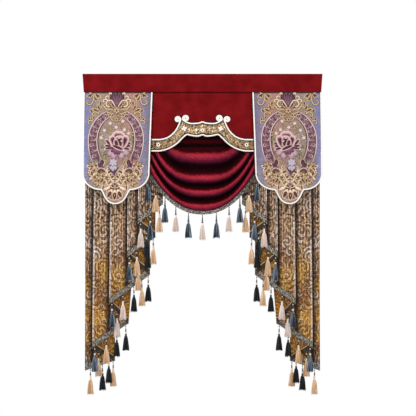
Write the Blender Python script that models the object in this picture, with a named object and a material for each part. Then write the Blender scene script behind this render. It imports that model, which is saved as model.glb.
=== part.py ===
# Swag and tail drape: a velvet heading and valance with a scrolled gold band, two
# shaped flags, a draped swag and two pleated tails with tasselled hems.
# Metres, +Z up. The front faces -Y. The origin is the middle of the top edge.

import math

import bmesh
import bpy
import numpy as np

GAP = 0.0003                      # clearance between pieces that are sewn together
EDGE_GAP = 0.0007                 # clearance between a curved cloth edge and its piping
HEM_GAP = 0.0009                  # clearance between a draped hem and its braid
CLOTH = 0.002                     # thickness of every cloth

# Heading band, folded over the top
HEADING_WIDTH = 1.494
HEADING_HEIGHT = 0.114
HEADING_BACK_HEIGHT = 0.100
HEADING_FRONT_Y = -0.0174         # middle of the front leaf
HEADING_BACK_Y = 0.0170           # middle of the back leaf
HEADING_SLANT = 0.008             # how far the lower corners stand in
HEADING_WAVE = 0.0012             # unevenness of the lower edge

# Everything that hangs from the heading starts just under its fold
TOP_Z = -0.006
HANG_Z = -0.118                   # below this the hanging layers lean forward

# Valance panel and gold band
VALANCE_HALF_WIDTH = 0.735
PANEL_Y = -0.0128
PANEL_LEAN = 0.050
# Upper and lower edge of the gold band, from the middle outwards: x, z, x, z
BAND_EDGES = (
    (0.0000, -0.3065, 0.0000, -0.3755),
    (-0.0194, -0.3125, -0.0250, -0.3830),
    (-0.0444, -0.3155, -0.0531, -0.3820),
    (-0.0750, -0.3155, -0.0781, -0.3765),
    (-0.1000, -0.3075, -0.0950, -0.3735),
    (-0.1144, -0.2985, -0.1081, -0.3790),
    (-0.1260, -0.2915, -0.1206, -0.3900),
    (-0.1375, -0.3090, -0.1344, -0.4030),
    (-0.1469, -0.3310, -0.1494, -0.4190),
    (-0.1675, -0.3650, -0.1719, -0.4380),
    (-0.2062, -0.3985, -0.2138, -0.4620),
    (-0.2513, -0.4140, -0.2625, -0.4750),
    (-0.3181, -0.4165, -0.3181, -0.4760),
    (-VALANCE_HALF_WIDTH, -0.4165, -VALANCE_HALF_WIDTH, -0.4760),
)

# White piping
PIPING_RADIUS = 0.0047
LOWER_PIPING_FORWARD = 0.0048     # middle of the lower cord in front of the panel's middle
OUTER_VOLUTE = (-0.1540, -0.2855)
OUTER_VOLUTE_RADIUS = 0.0190
INNER_VOLUTE = (-0.1030, -0.2785)
INNER_VOLUTE_RADIUS = 0.0200
VOLUTE_TIGHTEN = 0.0115           # radius lost in one full turn
VOLUTE_TURN = math.radians(380)

# Flags: centre line, side and the lower outline of one half, measured from the centre line
FLAG_CENTRE_TOP = -0.5235
FLAG_CENTRE_LOW = -0.5400
FLAG_HALF_TOP = 0.2125
FLAG_HALF_LOW = 0.2035
FLAG_SIDE_Z = -0.622
FLAG_CUSP = (0.0900, -0.7205)
FLAG_LOBE_PULLS = ((0.0700, -0.7340), (0.0660, -0.8075))
FLAG_TIP_Z = -0.8075
# Depth of the flag at each height: it lies over the piping and over the tails
FLAG_DEPTHS = (
    (TOP_Z, -0.0151),
    (HANG_Z, -0.0151),
    (-0.409, -0.0425),
    (-0.479, -0.0462),
    (FLAG_TIP_Z, -0.0545),
)

# Swag: one row for each crest, x and z where it goes under, z in the middle, power of
# the curve and how far the crest stands forward in the middle
SWAG_HALF_WIDTH = 0.352
SWAG_TOP_Z = -0.330
SWAG_CRESTS = (
    (0.195, -0.477, -0.518, 4.0, 0.042),
    (0.279, -0.502, -0.654, 3.2, 0.054),
    (0.307, -0.527, -0.741, 2.8, 0.062),
    (0.318, -0.5825, -0.828, 2.5, 0.068),
    (0.324, -0.655, -0.876, 2.2, 0.052),
)
SWAG_HOLLOW_DROP = 0.036          # how far a hollow lies behind its crests
SWAG_FIRST_HOLLOW = (-0.442, 0.004)
SWAG_COLUMNS = 23
SWAG_SIDE_FORWARD = 0.16          # share of the forward sweep left at the ends
SWAG_SEAT = 0.0005                # clearance of its top edge to the panel that carries it
SWAG_BEHIND = 0.0042              # the rest hangs this far behind the panel and the band
SWAG_EMERGE = (0.030, 0.060)       # under the band by, and forward over, these heights
SWAG_BRAID = 0.020
SWAG_TASSEL_PITCH = 0.0875
SWAG_TASSELS = 11
SWAG_TASSEL_FORWARD = 0.012       # their skirts clear the tails by leaning forward

# Tails: one row for each fold of the left tail, alternately a left and a right fold:
# x under the flag, x at the hem, z of the hem
TAIL_FOLDS = (
    (-0.731, -0.741, -1.848),
    (-0.547, -0.547, -1.790),
    (-0.671, -0.685, -1.706),
    (-0.340, -0.480, -1.554),
    (-0.570, -0.579, -1.432),
    (-0.327, -0.327, -1.249),
    (-0.465, -0.465, -1.139),
    (-0.293, -0.293, -1.017),
    (-0.400, -0.399, -0.936),
    (-0.242, -0.242, -0.812),
)
TAIL_BACK_Y = 0.0145              # rear limit of the pleats, just in front of the back leaf
TAIL_CLOSED_Z = -0.35             # the pleats are pressed flat down to here
TAIL_OPEN_Z = -1.65               # and fully open from here down
# Fold radius, step from pleat to pleat and backward run of each pleat, closed and open
FOLD_RADIUS = (0.0016, 0.0095)
PLEAT_STEP = (0.0041, 0.0250)
PLEAT_RUN = (0.0060, 0.0340)
FOLD_SHARE = 0.05                 # share of a pleat's run taken by half a fold
TAIL_ROWS = 11
TAIL_BRAID = 0.036                # upright width of the braid on the slanted hem
# Places of the tassels in each pleat, as a share of the pleat's run
TAIL_TASSELS = (
    (0.18, 0.58, 0.94),
    (0.26, 0.74),
    (0.08, 0.40, 0.68, 0.92),
    (0.62,),
    (0.08, 0.34, 0.60, 0.79, 0.94),
    (0.52,),
    (0.08, 0.34, 0.72, 0.91),
    (0.50,),
    (0.12, 0.50, 0.86),
)

# Tassel: distance below the braid and half width of the cord, bead, head and skirt
BRAID_THICKNESS = 0.003
CORD_HALF = 0.0020
TASSEL_RINGS = (
    (0.020, 0.0016),
    (0.032, 0.0050),
    (0.045, 0.0018),
    (0.053, 0.0050),
    (0.068, 0.0074),
)
TASSEL_LENGTH = 0.160
TASSEL_FORWARD = (0.011, 0.006)   # how far a skirt hangs in front of an outer and an inner pleat
SKIRT_WIDTH = 0.0145              # how far the outer locks reach sideways
SKIRT_DEPTH = 0.0055              # and to the front and back
LOCK_WIDEN = 1.5
LOCK_INSET = 0.0011


def clear_scene():
    for item in list(bpy.data.objects):
        bpy.data.objects.remove(item, do_unlink=True)


def make_material(name, colour, roughness):
    material = bpy.data.materials.new(name)
    material.use_nodes = True
    shader = material.node_tree.nodes["Principled BSDF"]
    shader.inputs["Base Color"].default_value = (*colour, 1.0)
    shader.inputs["Roughness"].default_value = roughness
    shader.inputs["Metallic"].default_value = 0.0
    return material


def add_mesh_object(name, shape, material, sharp_angle=60):
    # The finished shape becomes one named object
    mesh = bpy.data.meshes.new(name)
    bmesh.ops.recalc_face_normals(shape, faces=shape.faces)
    shape.to_mesh(mesh)
    shape.free()
    mesh.shade_smooth()
    mesh.set_sharp_from_angle(angle=math.radians(sharp_angle))
    mesh.materials.append(material)
    thing = bpy.data.objects.new(name, mesh)
    bpy.context.scene.collection.objects.link(thing)
    return thing


def add_cloth(name, points, material):
    # A sheet through a grid of points, thickened evenly to both sides
    rows, columns = points.shape[:2]
    shape = bmesh.new()
    verts = [[shape.verts.new(points[row, column]) for column in range(columns)] for row in range(rows)]
    for row in range(rows - 1):
        for column in range(columns - 1):
            corners = (
                verts[row][column],
                verts[row][column + 1],
                verts[row + 1][column + 1],
                verts[row + 1][column],
            )
            shape.faces.new(corners)
    thing = add_mesh_object(name, shape, material)
    thicken = thing.modifiers.new("thickness", "SOLIDIFY")
    thicken.thickness = CLOTH
    thicken.offset = 0.0
    thicken.use_even_offset = True
    thicken.use_quality_normals = True
    return thing


def add_piping(name, points, material):
    # A round cord with closed ends through the given points
    curve = bpy.data.curves.new(name, "CURVE")
    curve.dimensions = "3D"
    curve.bevel_depth = PIPING_RADIUS
    curve.bevel_resolution = 1
    curve.use_fill_caps = True
    spline = curve.splines.new("POLY")
    spline.points.add(len(points) - 1)
    for knot, place in zip(spline.points, points):
        knot.co = (*place, 1.0)
    curve.materials.append(material)
    thing = bpy.data.objects.new(name, curve)
    bpy.context.scene.collection.objects.link(thing)
    return thing


def mirrored(points, side):
    # side is 1 for the left as drawn and -1 for its mirror image
    return np.asarray(points) * (side, 1.0, 1.0)


def panel_y(z):
    return PANEL_Y - PANEL_LEAN * np.maximum(HANG_Z - np.asarray(z), 0.0)


def piping_y(z):
    # The cord lies on the panel's face
    return panel_y(z) - CLOTH / 2 - GAP - PIPING_RADIUS


def flag_y(z):
    heights = [row[0] for row in reversed(FLAG_DEPTHS)]
    depths = [row[1] for row in reversed(FLAG_DEPTHS)]
    return np.interp(z, heights, depths)


def on_panel(path):
    return [(x, float(piping_y(z)), z) for x, z in path]


def offset_path(path, distance):
    # Shifts a path in the XZ plane to its left side, with mitred corners
    line = np.asarray(path, dtype=float)
    step = np.diff(line, axis=0)
    step /= np.linalg.norm(step, axis=1, keepdims=True)
    normals = np.column_stack((-step[:, 1], step[:, 0]))
    before = np.vstack((normals[:1], normals))
    after = np.vstack((normals, normals[-1:]))
    corner = before + after
    corner /= np.linalg.norm(corner, axis=1, keepdims=True)
    mitre = 1.0 / np.maximum(np.sum(corner * after, axis=1, keepdims=True), 0.3)
    return line + distance * mitre * corner


def build_heading(material):
    front = HEADING_FRONT_Y
    back = HEADING_BACK_Y
    fold = 0.0035
    top = -CLOTH / 2
    profile = (
        (front, -HEADING_HEIGHT),
        (front, -HEADING_HEIGHT / 2),
        (front, top - fold),
        (front + 0.3 * fold, top - 0.3 * fold),
        (front + fold, top),
        (back - fold, top),
        (back - 0.3 * fold, top - 0.3 * fold),
        (back, top - fold),
        (back, -HEADING_BACK_HEIGHT),
    )
    stations = np.linspace(-1.0, 1.0, 9)
    points = np.empty((len(profile), len(stations), 3))
    for row, (y, z) in enumerate(profile):
        slant = HEADING_SLANT * (z / -HEADING_HEIGHT)
        wave = HEADING_WAVE * np.cos(9.0 * stations) if row == 0 else 0.0
        points[row, :, 0] = stations * (HEADING_WIDTH / 2 - slant)
        points[row, :, 1] = y
        points[row, :, 2] = z + wave
    add_cloth("heading_band", points, material)


def band_columns():
    # The band's edges over its whole width, from left to right
    left = np.array(BAND_EDGES)[::-1]
    right = left[::-1][1:] * (-1.0, 1.0, -1.0, 1.0)
    return np.vstack((left, right))


def build_panel(material):
    edges = band_columns()
    middle_x = (edges[:, 0] + edges[:, 2]) / 2
    middle_z = (edges[:, 1] + edges[:, 3]) / 2
    shares = (0.0, 0.5, 1.0)
    points = np.empty((len(shares) + 1, len(edges), 3))
    points[0] = np.column_stack((middle_x, np.full(len(edges), PANEL_Y), np.full(len(edges), TOP_Z)))
    for row, share in enumerate(shares, start=1):
        z = HANG_Z + (middle_z - HANG_Z) * share
        points[row] = np.column_stack((middle_x, panel_y(z), z))
    add_cloth("valance_panel", points, material)


def build_band(material):
    edges = band_columns()
    forward = CLOTH + GAP
    points = np.empty((3, len(edges), 3))
    for row, share in enumerate((0.0, 0.5, 1.0)):
        x = edges[:, 0] + (edges[:, 2] - edges[:, 0]) * share
        z = edges[:, 1] + (edges[:, 3] - edges[:, 1]) * share
        points[row] = np.column_stack((x, panel_y(z) - forward, z))
    add_cloth("scroll_band", points, material)


def volute(centre, radius, start, turn, steps):
    # A spiral that tightens evenly as it turns
    angles = np.linspace(0.0, turn, steps + 1)
    radii = radius - VOLUTE_TIGHTEN * np.abs(angles) / math.tau
    x = centre[0] + radii * np.cos(start + angles)
    z = centre[1] + radii * np.sin(start + angles)
    return list(zip(x, z))


def build_band_piping(material):
    table = np.array(BAND_EDGES)
    stand_off = PIPING_RADIUS + GAP
    lower = offset_path(table[::-1, 2:4], -stand_off)
    lower[-1] = (0.0, table[0, 3] - stand_off)
    whole = [tuple(place) for place in lower] + [(-x, z) for x, z in lower[::-1][1:]]
    level = [(x, float(panel_y(z)) - LOWER_PIPING_FORWARD, z) for x, z in whole]
    add_piping("piping_lower", level, material)

    upper_outer = [tuple(place) for place in offset_path(table[:6:-1, 0:2], stand_off)]
    outer = upper_outer + volute(OUTER_VOLUTE, OUTER_VOLUTE_RADIUS, 0.0, VOLUTE_TURN, 15)
    add_piping("piping_upper_left", on_panel(outer), material)
    add_piping("piping_upper_right", mirrored(on_panel(outer), -1), material)

    upper_inner = [tuple(place) for place in offset_path(table[5::-1, 0:2], stand_off)]
    upper_inner[-1] = (0.0, table[0, 1] + stand_off)
    spiral = volute(INNER_VOLUTE, INNER_VOLUTE_RADIUS, math.radians(215), -VOLUTE_TURN, 15)
    half = spiral[::-1] + upper_inner
    across = half + [(-x, z) for x, z in half[::-1][1:]]
    add_piping("piping_middle", on_panel(across), material)


def bezier(start, pull_a, pull_b, end, steps):
    t = np.linspace(0.0, 1.0, steps + 1)[:, None]
    curve = (1 - t) ** 3 * np.array(start) + 3 * (1 - t) ** 2 * t * np.array(pull_a)
    return curve + 3 * (1 - t) * t ** 2 * np.array(pull_b) + t ** 3 * np.array(end)


def flag_outline():
    # Lower outline of half a flag from the side to the tip, x from the centre line
    angles = np.linspace(0.0, math.pi / 2, 6)
    x = FLAG_CUSP[0] + (FLAG_HALF_LOW - FLAG_CUSP[0]) * np.cos(angles)
    z = FLAG_SIDE_Z + (FLAG_CUSP[1] - FLAG_SIDE_Z) * np.sin(angles)
    shoulder = np.column_stack((x, z))
    lobe = bezier(FLAG_CUSP, *FLAG_LOBE_PULLS, (0.0, FLAG_TIP_Z), 5)
    return np.vstack((shoulder, lobe[1:]))


def flag_centre(z):
    return np.interp(z, (FLAG_TIP_Z, 0.0), (FLAG_CENTRE_LOW, FLAG_CENTRE_TOP))


def flag_half(z):
    return np.interp(z, (FLAG_SIDE_Z, 0.0), (FLAG_HALF_LOW, FLAG_HALF_TOP))


def build_flag(name, side, material):
    half = offset_path(flag_outline(), -PIPING_RADIUS - EDGE_GAP)
    half[-1, 0] = 0.0
    across = np.concatenate((-half[:, 0], half[-2::-1, 0])) / FLAG_HALF_LOW
    lowest = np.concatenate((half[:, 1], half[-2::-1, 1]))
    shares = (0.0, 0.22, 0.42, 0.52, 0.62, 0.82, 1.0)
    points = np.empty((len(shares) + 1, len(across), 3))
    for row in range(len(shares) + 1):
        z = HANG_Z + (lowest - HANG_Z) * shares[row - 1] if row > 0 else TOP_Z + 0.0 * lowest
        x = flag_centre(z) + across * flag_half(z)
        points[row] = np.column_stack((x, flag_y(z), z))
    add_cloth(name, mirrored(points, side), material)


def build_flag_piping(name, side, material):
    half = flag_outline()
    lower = np.vstack((half * (-1.0, 1.0), half[-2::-1]))
    side_heights = np.array([HANG_Z, -0.25, -0.409, -0.479, -0.56])
    stand_forward = PIPING_RADIUS - CLOTH / 2
    start = [(-flag_half(z), z) for z in side_heights]
    end = [(flag_half(z), z) for z in side_heights[::-1]]
    path = np.vstack((start, lower, end))
    z = path[:, 1]
    points = np.column_stack((path[:, 0] + flag_centre(z), flag_y(z) - stand_forward, z))
    add_piping(name, mirrored(points, side), material)


def crest_z(x, crest):
    # Sagging line of one crest: a power curve, then straight on under the flag
    edge_x, edge_z, middle_z, power, _ = crest
    drop = edge_z - middle_z
    reach = np.minimum(np.abs(x) / edge_x, 1.0)
    beyond = np.maximum(np.abs(x) - edge_x, 0.0)
    return edge_z + drop * (reach ** power - 1.0) + drop * power / edge_x * beyond


def band_lower_z(x):
    table = np.array(BAND_EDGES)
    return np.interp(-np.abs(x), table[::-1, 2], table[::-1, 3])


def swag_rows():
    # Height and forward sweep of each row: crests, hollows between them and rows halfway
    x = np.linspace(-SWAG_HALF_WIDTH, SWAG_HALF_WIDTH, SWAG_COLUMNS)
    lines = [crest_z(x, crest) for crest in SWAG_CRESTS]
    sweeps = [crest[4] for crest in SWAG_CRESTS]
    first = lines[0] + (SWAG_FIRST_HOLLOW[0] - SWAG_CRESTS[0][2])
    heights = [np.maximum(first + 0.07, SWAG_TOP_Z + 0 * x), first]
    forward = [0.0, SWAG_FIRST_HOLLOW[1]]
    for index in range(4):
        before = heights[-1]
        heights.append((before + lines[index]) / 2)
        forward.append(0.72 * sweeps[index] + 0.28 * forward[-1])
        heights.append(lines[index])
        forward.append(sweeps[index])
        if index < 3:
            hollow = (lines[index] + lines[index + 1]) / 2
            heights.append(0.55 * lines[index] + 0.45 * hollow)
            forward.append(sweeps[index] - 0.35 * SWAG_HOLLOW_DROP)
            heights.append(hollow)
            forward.append(sweeps[index] - SWAG_HOLLOW_DROP)
    heights.append(lines[4])
    forward.append(sweeps[4])
    return x, heights, forward


def swag_y(x, z, forward):
    # Behind the band the swag lies flat on the panel's back, below it the cloth sweeps out
    flat = panel_y(z) + CLOTH + SWAG_BEHIND
    below = np.clip((band_lower_z(x) - z - SWAG_EMERGE[0]) / SWAG_EMERGE[1], 0.0, 1.0)
    emerge = below * below * (3.0 - 2.0 * below)
    round_off = (1.0 - (np.abs(x) / SWAG_HALF_WIDTH) ** 2.2)
    sweep = SWAG_SIDE_FORWARD + (1.0 - SWAG_SIDE_FORWARD) * round_off
    return np.maximum(flat, panel_y(-0.48) + CLOTH + SWAG_BEHIND) - forward * emerge * sweep


def swag_edge(standing_in):
    # A line along the hem, this far inside the braid's lower edge, one point for each column
    x = np.linspace(-SWAG_HALF_WIDTH, SWAG_HALF_WIDTH, SWAG_COLUMNS)
    hem = SWAG_CRESTS[-1]
    z = crest_z(x, hem)
    nearby = 0.001
    slope = (crest_z(x + nearby, hem) - crest_z(x - nearby, hem)) / (2 * nearby)
    inward = np.column_stack((-slope, np.zeros_like(x), np.ones_like(x)))
    inward /= np.linalg.norm(inward, axis=1, keepdims=True)
    return np.column_stack((x, swag_y(x, z, hem[4]), z)) + inward * standing_in


def build_swag(material):
    x, heights, forward = swag_rows()
    points = np.empty((len(heights), len(x), 3))
    for row, (z, sweep) in enumerate(zip(heights, forward)):
        points[row] = np.column_stack((x, swag_y(x, z, sweep), z))
    points[0, :, 1] = panel_y(heights[0]) + CLOTH + SWAG_SEAT
    points[-1] = swag_edge(SWAG_BRAID + HEM_GAP)
    add_cloth("swag", points, material)


def add_fringe(name, top, bottom, facing, tassels, material):
    # A braid strip. The face under each tassel's station grows into cord, bead, head and
    # skirt. facing is the strip's level normal, tassels maps a station to a forward shift.
    shape = bmesh.new()
    half = facing * (BRAID_THICKNESS / 2)
    corners = []
    for index in range(len(top)):
        places = (top[index] + half[index], top[index] - half[index],
                  bottom[index] - half[index], bottom[index] + half[index])
        corners.append([shape.verts.new(place) for place in places])
    shape.faces.new(corners[0])
    shape.faces.new(corners[-1][::-1])
    for index in range(len(top) - 1):
        here = corners[index]
        there = corners[index + 1]
        for side in range(4):
            following = (side + 1) % 4
            face = shape.faces.new((here[side], here[following], there[following], there[side]))
            if side == 2 and index in tassels:
                grow_tassel(shape, face, facing[index], tassels[index])
    add_mesh_object(name, shape, material, 50)


def grow_tassel(shape, face, facing, shift):
    start = list(face.verts)
    centre = face.calc_center_median()
    sideways = np.cross(facing, (0.0, 0.0, 1.0))
    signs = []
    for vert in start:
        away = np.array(vert.co - centre)
        signs.append((math.copysign(1.0, away @ sideways), math.copysign(1.0, away @ facing)))
    shape.faces.remove(face)
    ring = start
    for drop, half in TASSEL_RINGS:
        level = np.array(centre) + facing * shift * drop / TASSEL_RINGS[-1][0]
        level[2] -= drop
        places = [level + sideways * (a * half) + facing * (b * half) for a, b in signs]
        below = [shape.verts.new(place) for place in places]
        for side in range(4):
            following = (side + 1) % 4
            shape.faces.new((ring[side], ring[following], below[following], below[side]))
        ring = below
    add_locks(shape, shape.faces.new(ring), facing, sideways)


def add_locks(shape, neck, facing, sideways):
    # The neck is split into four, and each quarter grows into one lock of the skirt
    shape.normal_update()
    centre = np.array(neck.calc_center_median())
    quarters = bmesh.ops.poke(shape, faces=[neck])["faces"]
    bmesh.ops.inset_individual(shape, faces=quarters, thickness=LOCK_INSET, use_even_offset=True)
    ends = bmesh.ops.extrude_discrete_faces(shape, faces=quarters)["faces"]
    for end in ends:
        root = np.array(end.calc_center_median())
        away = root - centre
        share_side = np.sign(round(float(away @ sideways), 5))
        share_front = np.sign(round(float(away @ facing), 5))
        goal = centre + sideways * share_side * SKIRT_WIDTH + facing * share_front * SKIRT_DEPTH
        goal[2] = centre[2] - (TASSEL_LENGTH - TASSEL_RINGS[-1][0])
        for vert in end.verts:
            vert.co = goal + (np.array(vert.co) - root) * LOCK_WIDEN


def tassel_stations(places):
    # Two stations for each tassel, one cord's width apart
    return sorted([place + shift for place in places for shift in (-1, 1)])


def build_swag_fringe(material):
    # The braid has the same columns as the cloth, and two more for each tassel
    bottom = swag_edge(0.0)
    top = swag_edge(SWAG_BRAID)
    step = np.linalg.norm(np.diff(bottom, axis=0), axis=1)
    length = np.concatenate(([0.0], np.cumsum(step)))
    count = SWAG_TASSELS // 2
    places = length[-1] / 2 + SWAG_TASSEL_PITCH * np.arange(-count, count + 1)
    spread = [place for place in length if np.min(np.abs(places - place)) > 1.6 * CORD_HALF]
    stations = np.sort(np.concatenate((spread, places - CORD_HALF, places + CORD_HALF)))
    bottom = np.column_stack([np.interp(stations, length, axis) for axis in bottom.T])
    top = np.column_stack([np.interp(stations, length, axis) for axis in top.T])
    facing = np.tile((0.0, -1.0, 0.0), (len(stations), 1))
    tassels = {int(np.argmin(np.abs(stations - place + CORD_HALF))): SWAG_TASSEL_FORWARD for place in places}
    add_fringe("swag_fringe", top, bottom, facing, tassels, material)


def tail_point(q, z):
    # Place in plan of pleat station q at height z. Whole numbers are the folds: even
    # ones turn on the left, odd ones on the right, each pleat lies before the last one.
    opened = min(max((TAIL_CLOSED_Z - z) / (TAIL_CLOSED_Z - TAIL_OPEN_Z), 0.0), 1.0)
    opening = opened * opened * (3.0 - 2.0 * opened)
    radius = FOLD_RADIUS[0] + (FOLD_RADIUS[1] - FOLD_RADIUS[0]) * opening
    step = PLEAT_STEP[0] + (PLEAT_STEP[1] - PLEAT_STEP[0]) * opening
    run = PLEAT_RUN[0] + (PLEAT_RUN[1] - PLEAT_RUN[0]) * opening
    first_y = TAIL_BACK_Y - run + radius

    def fold_centre(number):
        x_high, x_low, _ = TAIL_FOLDS[number]
        x = x_high + (x_low - x_high) * min(max(-z / 1.8, 0.0), 1.0)
        pair, right = divmod(number, 2)
        inwards = -radius if right else radius
        y = first_y - pair * step + (run - 2 * radius if right else 0.0)
        return x + inwards, y, 1.0 if right else -1.0

    last = len(TAIL_FOLDS) - 1
    number = min(int(q), last - 1)
    share = q - number
    if number > 0 and share < FOLD_SHARE:
        x, y, turn = fold_centre(number)
        angle = math.pi / 2 * share / FOLD_SHARE
        return x + turn * radius * math.cos(angle), y - radius * math.sin(angle)
    if number < last - 1 and share > 1.0 - FOLD_SHARE:
        x, y, turn = fold_centre(number + 1)
        angle = math.pi / 2 * (1.0 - share) / FOLD_SHARE
        return x + turn * radius * math.cos(angle), y + radius * math.sin(angle)
    start = FOLD_SHARE if number > 0 else 0.0
    stop = 1.0 - FOLD_SHARE if number < last - 1 else 1.0
    along = (share - start) / (stop - start)
    x_from, y_from, _ = fold_centre(number)
    x_to, y_to, _ = fold_centre(number + 1)
    y_from -= radius
    y_to += radius
    return x_from + (x_to - x_from) * along, y_from + (y_to - y_from) * along


def tail_hem_z(q):
    return float(np.interp(q, range(len(TAIL_FOLDS)), [fold[2] for fold in TAIL_FOLDS]))


def tail_stations():
    pleats = len(TAIL_FOLDS) - 1
    stations = []
    for pleat in range(pleats):
        first = pleat + (FOLD_SHARE if pleat > 0 else 0.0)
        last = pleat + 1 - (FOLD_SHARE if pleat < pleats - 1 else 0.0)
        stations += [first, pleat + 0.5, last]
        if pleat < pleats - 1:
            stations += [pleat + 1 - FOLD_SHARE / 2, pleat + 1.0, pleat + 1 + FOLD_SHARE / 2]
    return stations


def build_tail(name, side, material):
    stations = tail_stations()
    points = np.empty((TAIL_ROWS, len(stations), 3))
    for row in range(TAIL_ROWS):
        share = row / (TAIL_ROWS - 1)
        for column, q in enumerate(stations):
            z = TOP_Z + (tail_hem_z(q) + TAIL_BRAID + HEM_GAP - TOP_Z) * share
            points[row, column] = (*tail_point(q, z), z)
    add_cloth(name, mirrored(points, side), material)


def build_tail_fringe(name, side, material):
    fold_z = [fold[2] for fold in TAIL_FOLDS]
    half_share = []
    stations = {round(q, 5): None for q in tail_stations()}
    for pleat, shares in enumerate(TAIL_TASSELS):
        width = abs(TAIL_FOLDS[pleat + 1][1] - TAIL_FOLDS[pleat][1])
        half_share = CORD_HALF / width
        forward = TASSEL_FORWARD[pleat % 2]
        for share in shares:
            near = [q for q in stations if abs(q - pleat - share) < 2 * half_share]
            for q in near:
                del stations[q]
            stations[round(pleat + share - half_share, 5)] = forward
            stations[round(pleat + share + half_share, 5)] = None
    ordered = sorted(stations)
    bottom = np.array([(*tail_point(q, tail_hem_z(q)), tail_hem_z(q)) for q in ordered])
    top = np.array([(*tail_point(q, tail_hem_z(q) + TAIL_BRAID), tail_hem_z(q) + TAIL_BRAID) for q in ordered])
    bottom = mirrored(bottom, side)
    top = mirrored(top, side)
    along = np.gradient(bottom[:, :2], axis=0)
    along /= np.linalg.norm(along, axis=1, keepdims=True)
    facing = np.column_stack((along[:, 1], -along[:, 0], np.zeros(len(along))))
    tassels = {}
    for index, q in enumerate(ordered):
        if stations[q] is not None:
            facing[index + 1] = facing[index]
            tassels[index] = math.copysign(stations[q], -facing[index][1])
    add_fringe(name, top, bottom, facing, tassels, material)


def main():
    clear_scene()
    velvet = make_material("red_velvet", (0.17, 0.006, 0.010), 0.75)
    wine = make_material("wine_velvet", (0.19, 0.004, 0.014), 0.55)
    gold = make_material("gold_brocade", (0.40, 0.24, 0.07), 0.55)
    white = make_material("white_piping", (0.90, 0.87, 0.80), 0.6)
    lilac = make_material("flag_brocade", (0.36, 0.27, 0.42), 0.6)
    brown = make_material("tail_brocade", (0.20, 0.11, 0.04), 0.55)
    yarn = make_material("tassel_yarn", (0.55, 0.42, 0.32), 0.7)
    build_heading(velvet)
    build_panel(velvet)
    build_band(gold)
    build_band_piping(white)
    build_swag(wine)
    build_swag_fringe(yarn)
    for label, side in (("left", 1), ("right", -1)):
        build_flag(f"flag_{label}", side, lilac)
        build_flag_piping(f"flag_piping_{label}", side, white)
        build_tail(f"tail_{label}", side, brown)
        build_tail_fringe(f"tail_fringe_{label}", side, yarn)


main()
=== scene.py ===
import math
import bpy
import numpy as np
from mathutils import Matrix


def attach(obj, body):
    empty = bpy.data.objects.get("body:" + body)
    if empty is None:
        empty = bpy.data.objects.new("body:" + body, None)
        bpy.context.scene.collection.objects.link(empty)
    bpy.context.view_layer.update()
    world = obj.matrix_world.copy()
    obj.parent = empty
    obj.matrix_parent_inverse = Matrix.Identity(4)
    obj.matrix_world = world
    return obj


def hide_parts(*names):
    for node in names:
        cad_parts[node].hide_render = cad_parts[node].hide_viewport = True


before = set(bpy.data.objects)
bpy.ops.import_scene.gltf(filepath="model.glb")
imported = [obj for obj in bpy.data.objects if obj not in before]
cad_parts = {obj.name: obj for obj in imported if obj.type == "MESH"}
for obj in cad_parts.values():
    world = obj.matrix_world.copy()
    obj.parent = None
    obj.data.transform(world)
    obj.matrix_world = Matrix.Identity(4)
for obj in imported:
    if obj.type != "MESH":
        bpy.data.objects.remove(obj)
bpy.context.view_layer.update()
print("frame loaded:", len(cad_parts), "nodes")

clothGap = 0.0003      # clearance between sewn pieces, in metres
clothThick = 0.002
body = "root"
flip = (-1.0, 1.0)     # turns x, z places into their mirror image


def unit(rows):
    return rows / np.maximum(np.linalg.norm(rows, axis=-1, keepdims=True), 1e-9)


def runLength(line):
    # distance along a line at each of its points
    return np.concatenate(([0.0], np.cumsum(np.linalg.norm(np.diff(line, axis=0), axis=-1))))


def readAt(wanted, known, line):
    # the line's places where known has the wanted values
    return np.stack([np.interp(wanted, known, axis) for axis in line.T], axis=-1)


def grid(*parts):
    # arrays spread over each other's shape and stacked as coordinates
    return np.stack(np.broadcast_arrays(*parts), axis=-1)


def around(count, start=0.0):
    # angles evenly round a circle
    return np.linspace(start, start + math.tau, count, endpoint=False)


def mirrored(line):
    # a line that ends in the middle, and its mirror image back
    return np.vstack((line, line[::-1][1:] * np.resize(flip, line.shape[1])))


def smoothStep(value, low, high):
    t = np.clip((value - low) / (high - low), 0.0, 1.0)
    return t * t * (3.0 - 2.0 * t)


def curveThrough(rows, steps):
    # Catmull-Rom curve through the rows, in even steps of its parameter between two rows
    rows = np.asarray(rows, dtype=float)
    ends = np.concatenate((2 * rows[:1] - rows[1:2], rows, 2 * rows[-1:] - rows[-2:-1]))
    t = np.linspace(0.0, 1.0, steps, endpoint=False).reshape(1, -1, *[1] * (rows.ndim - 1))
    a, b, c, d = (ends[start:start + len(rows) - 1, None] for start in range(4))
    curve = 0.5 * (2 * b + (c - a) * t + (2 * a - 5 * b + 4 * c - d) * t ** 2 + (3 * b - a - 3 * c + d) * t ** 3)
    return np.concatenate((curve.reshape(-1, *rows.shape[1:]), rows[-1:]))


def smoothPath(points, count):
    # the curve through the points, read at even steps of its length
    curve = curveThrough(points, 12)
    length = runLength(curve)
    return readAt(np.linspace(0.0, length[-1], count), length, curve)


def gridFaces(rows, columns, closed=False):
    # quads of a grid of rows by columns, closed wraps the columns round
    row, column = np.meshgrid(np.arange(rows - 1), np.arange(columns if closed else columns - 1), indexing="ij")
    here = row * columns + column
    right = row * columns + (column + 1) % columns
    return np.stack((here, right, right + columns, here + columns), axis=-1).reshape(-1, 4)


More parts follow.
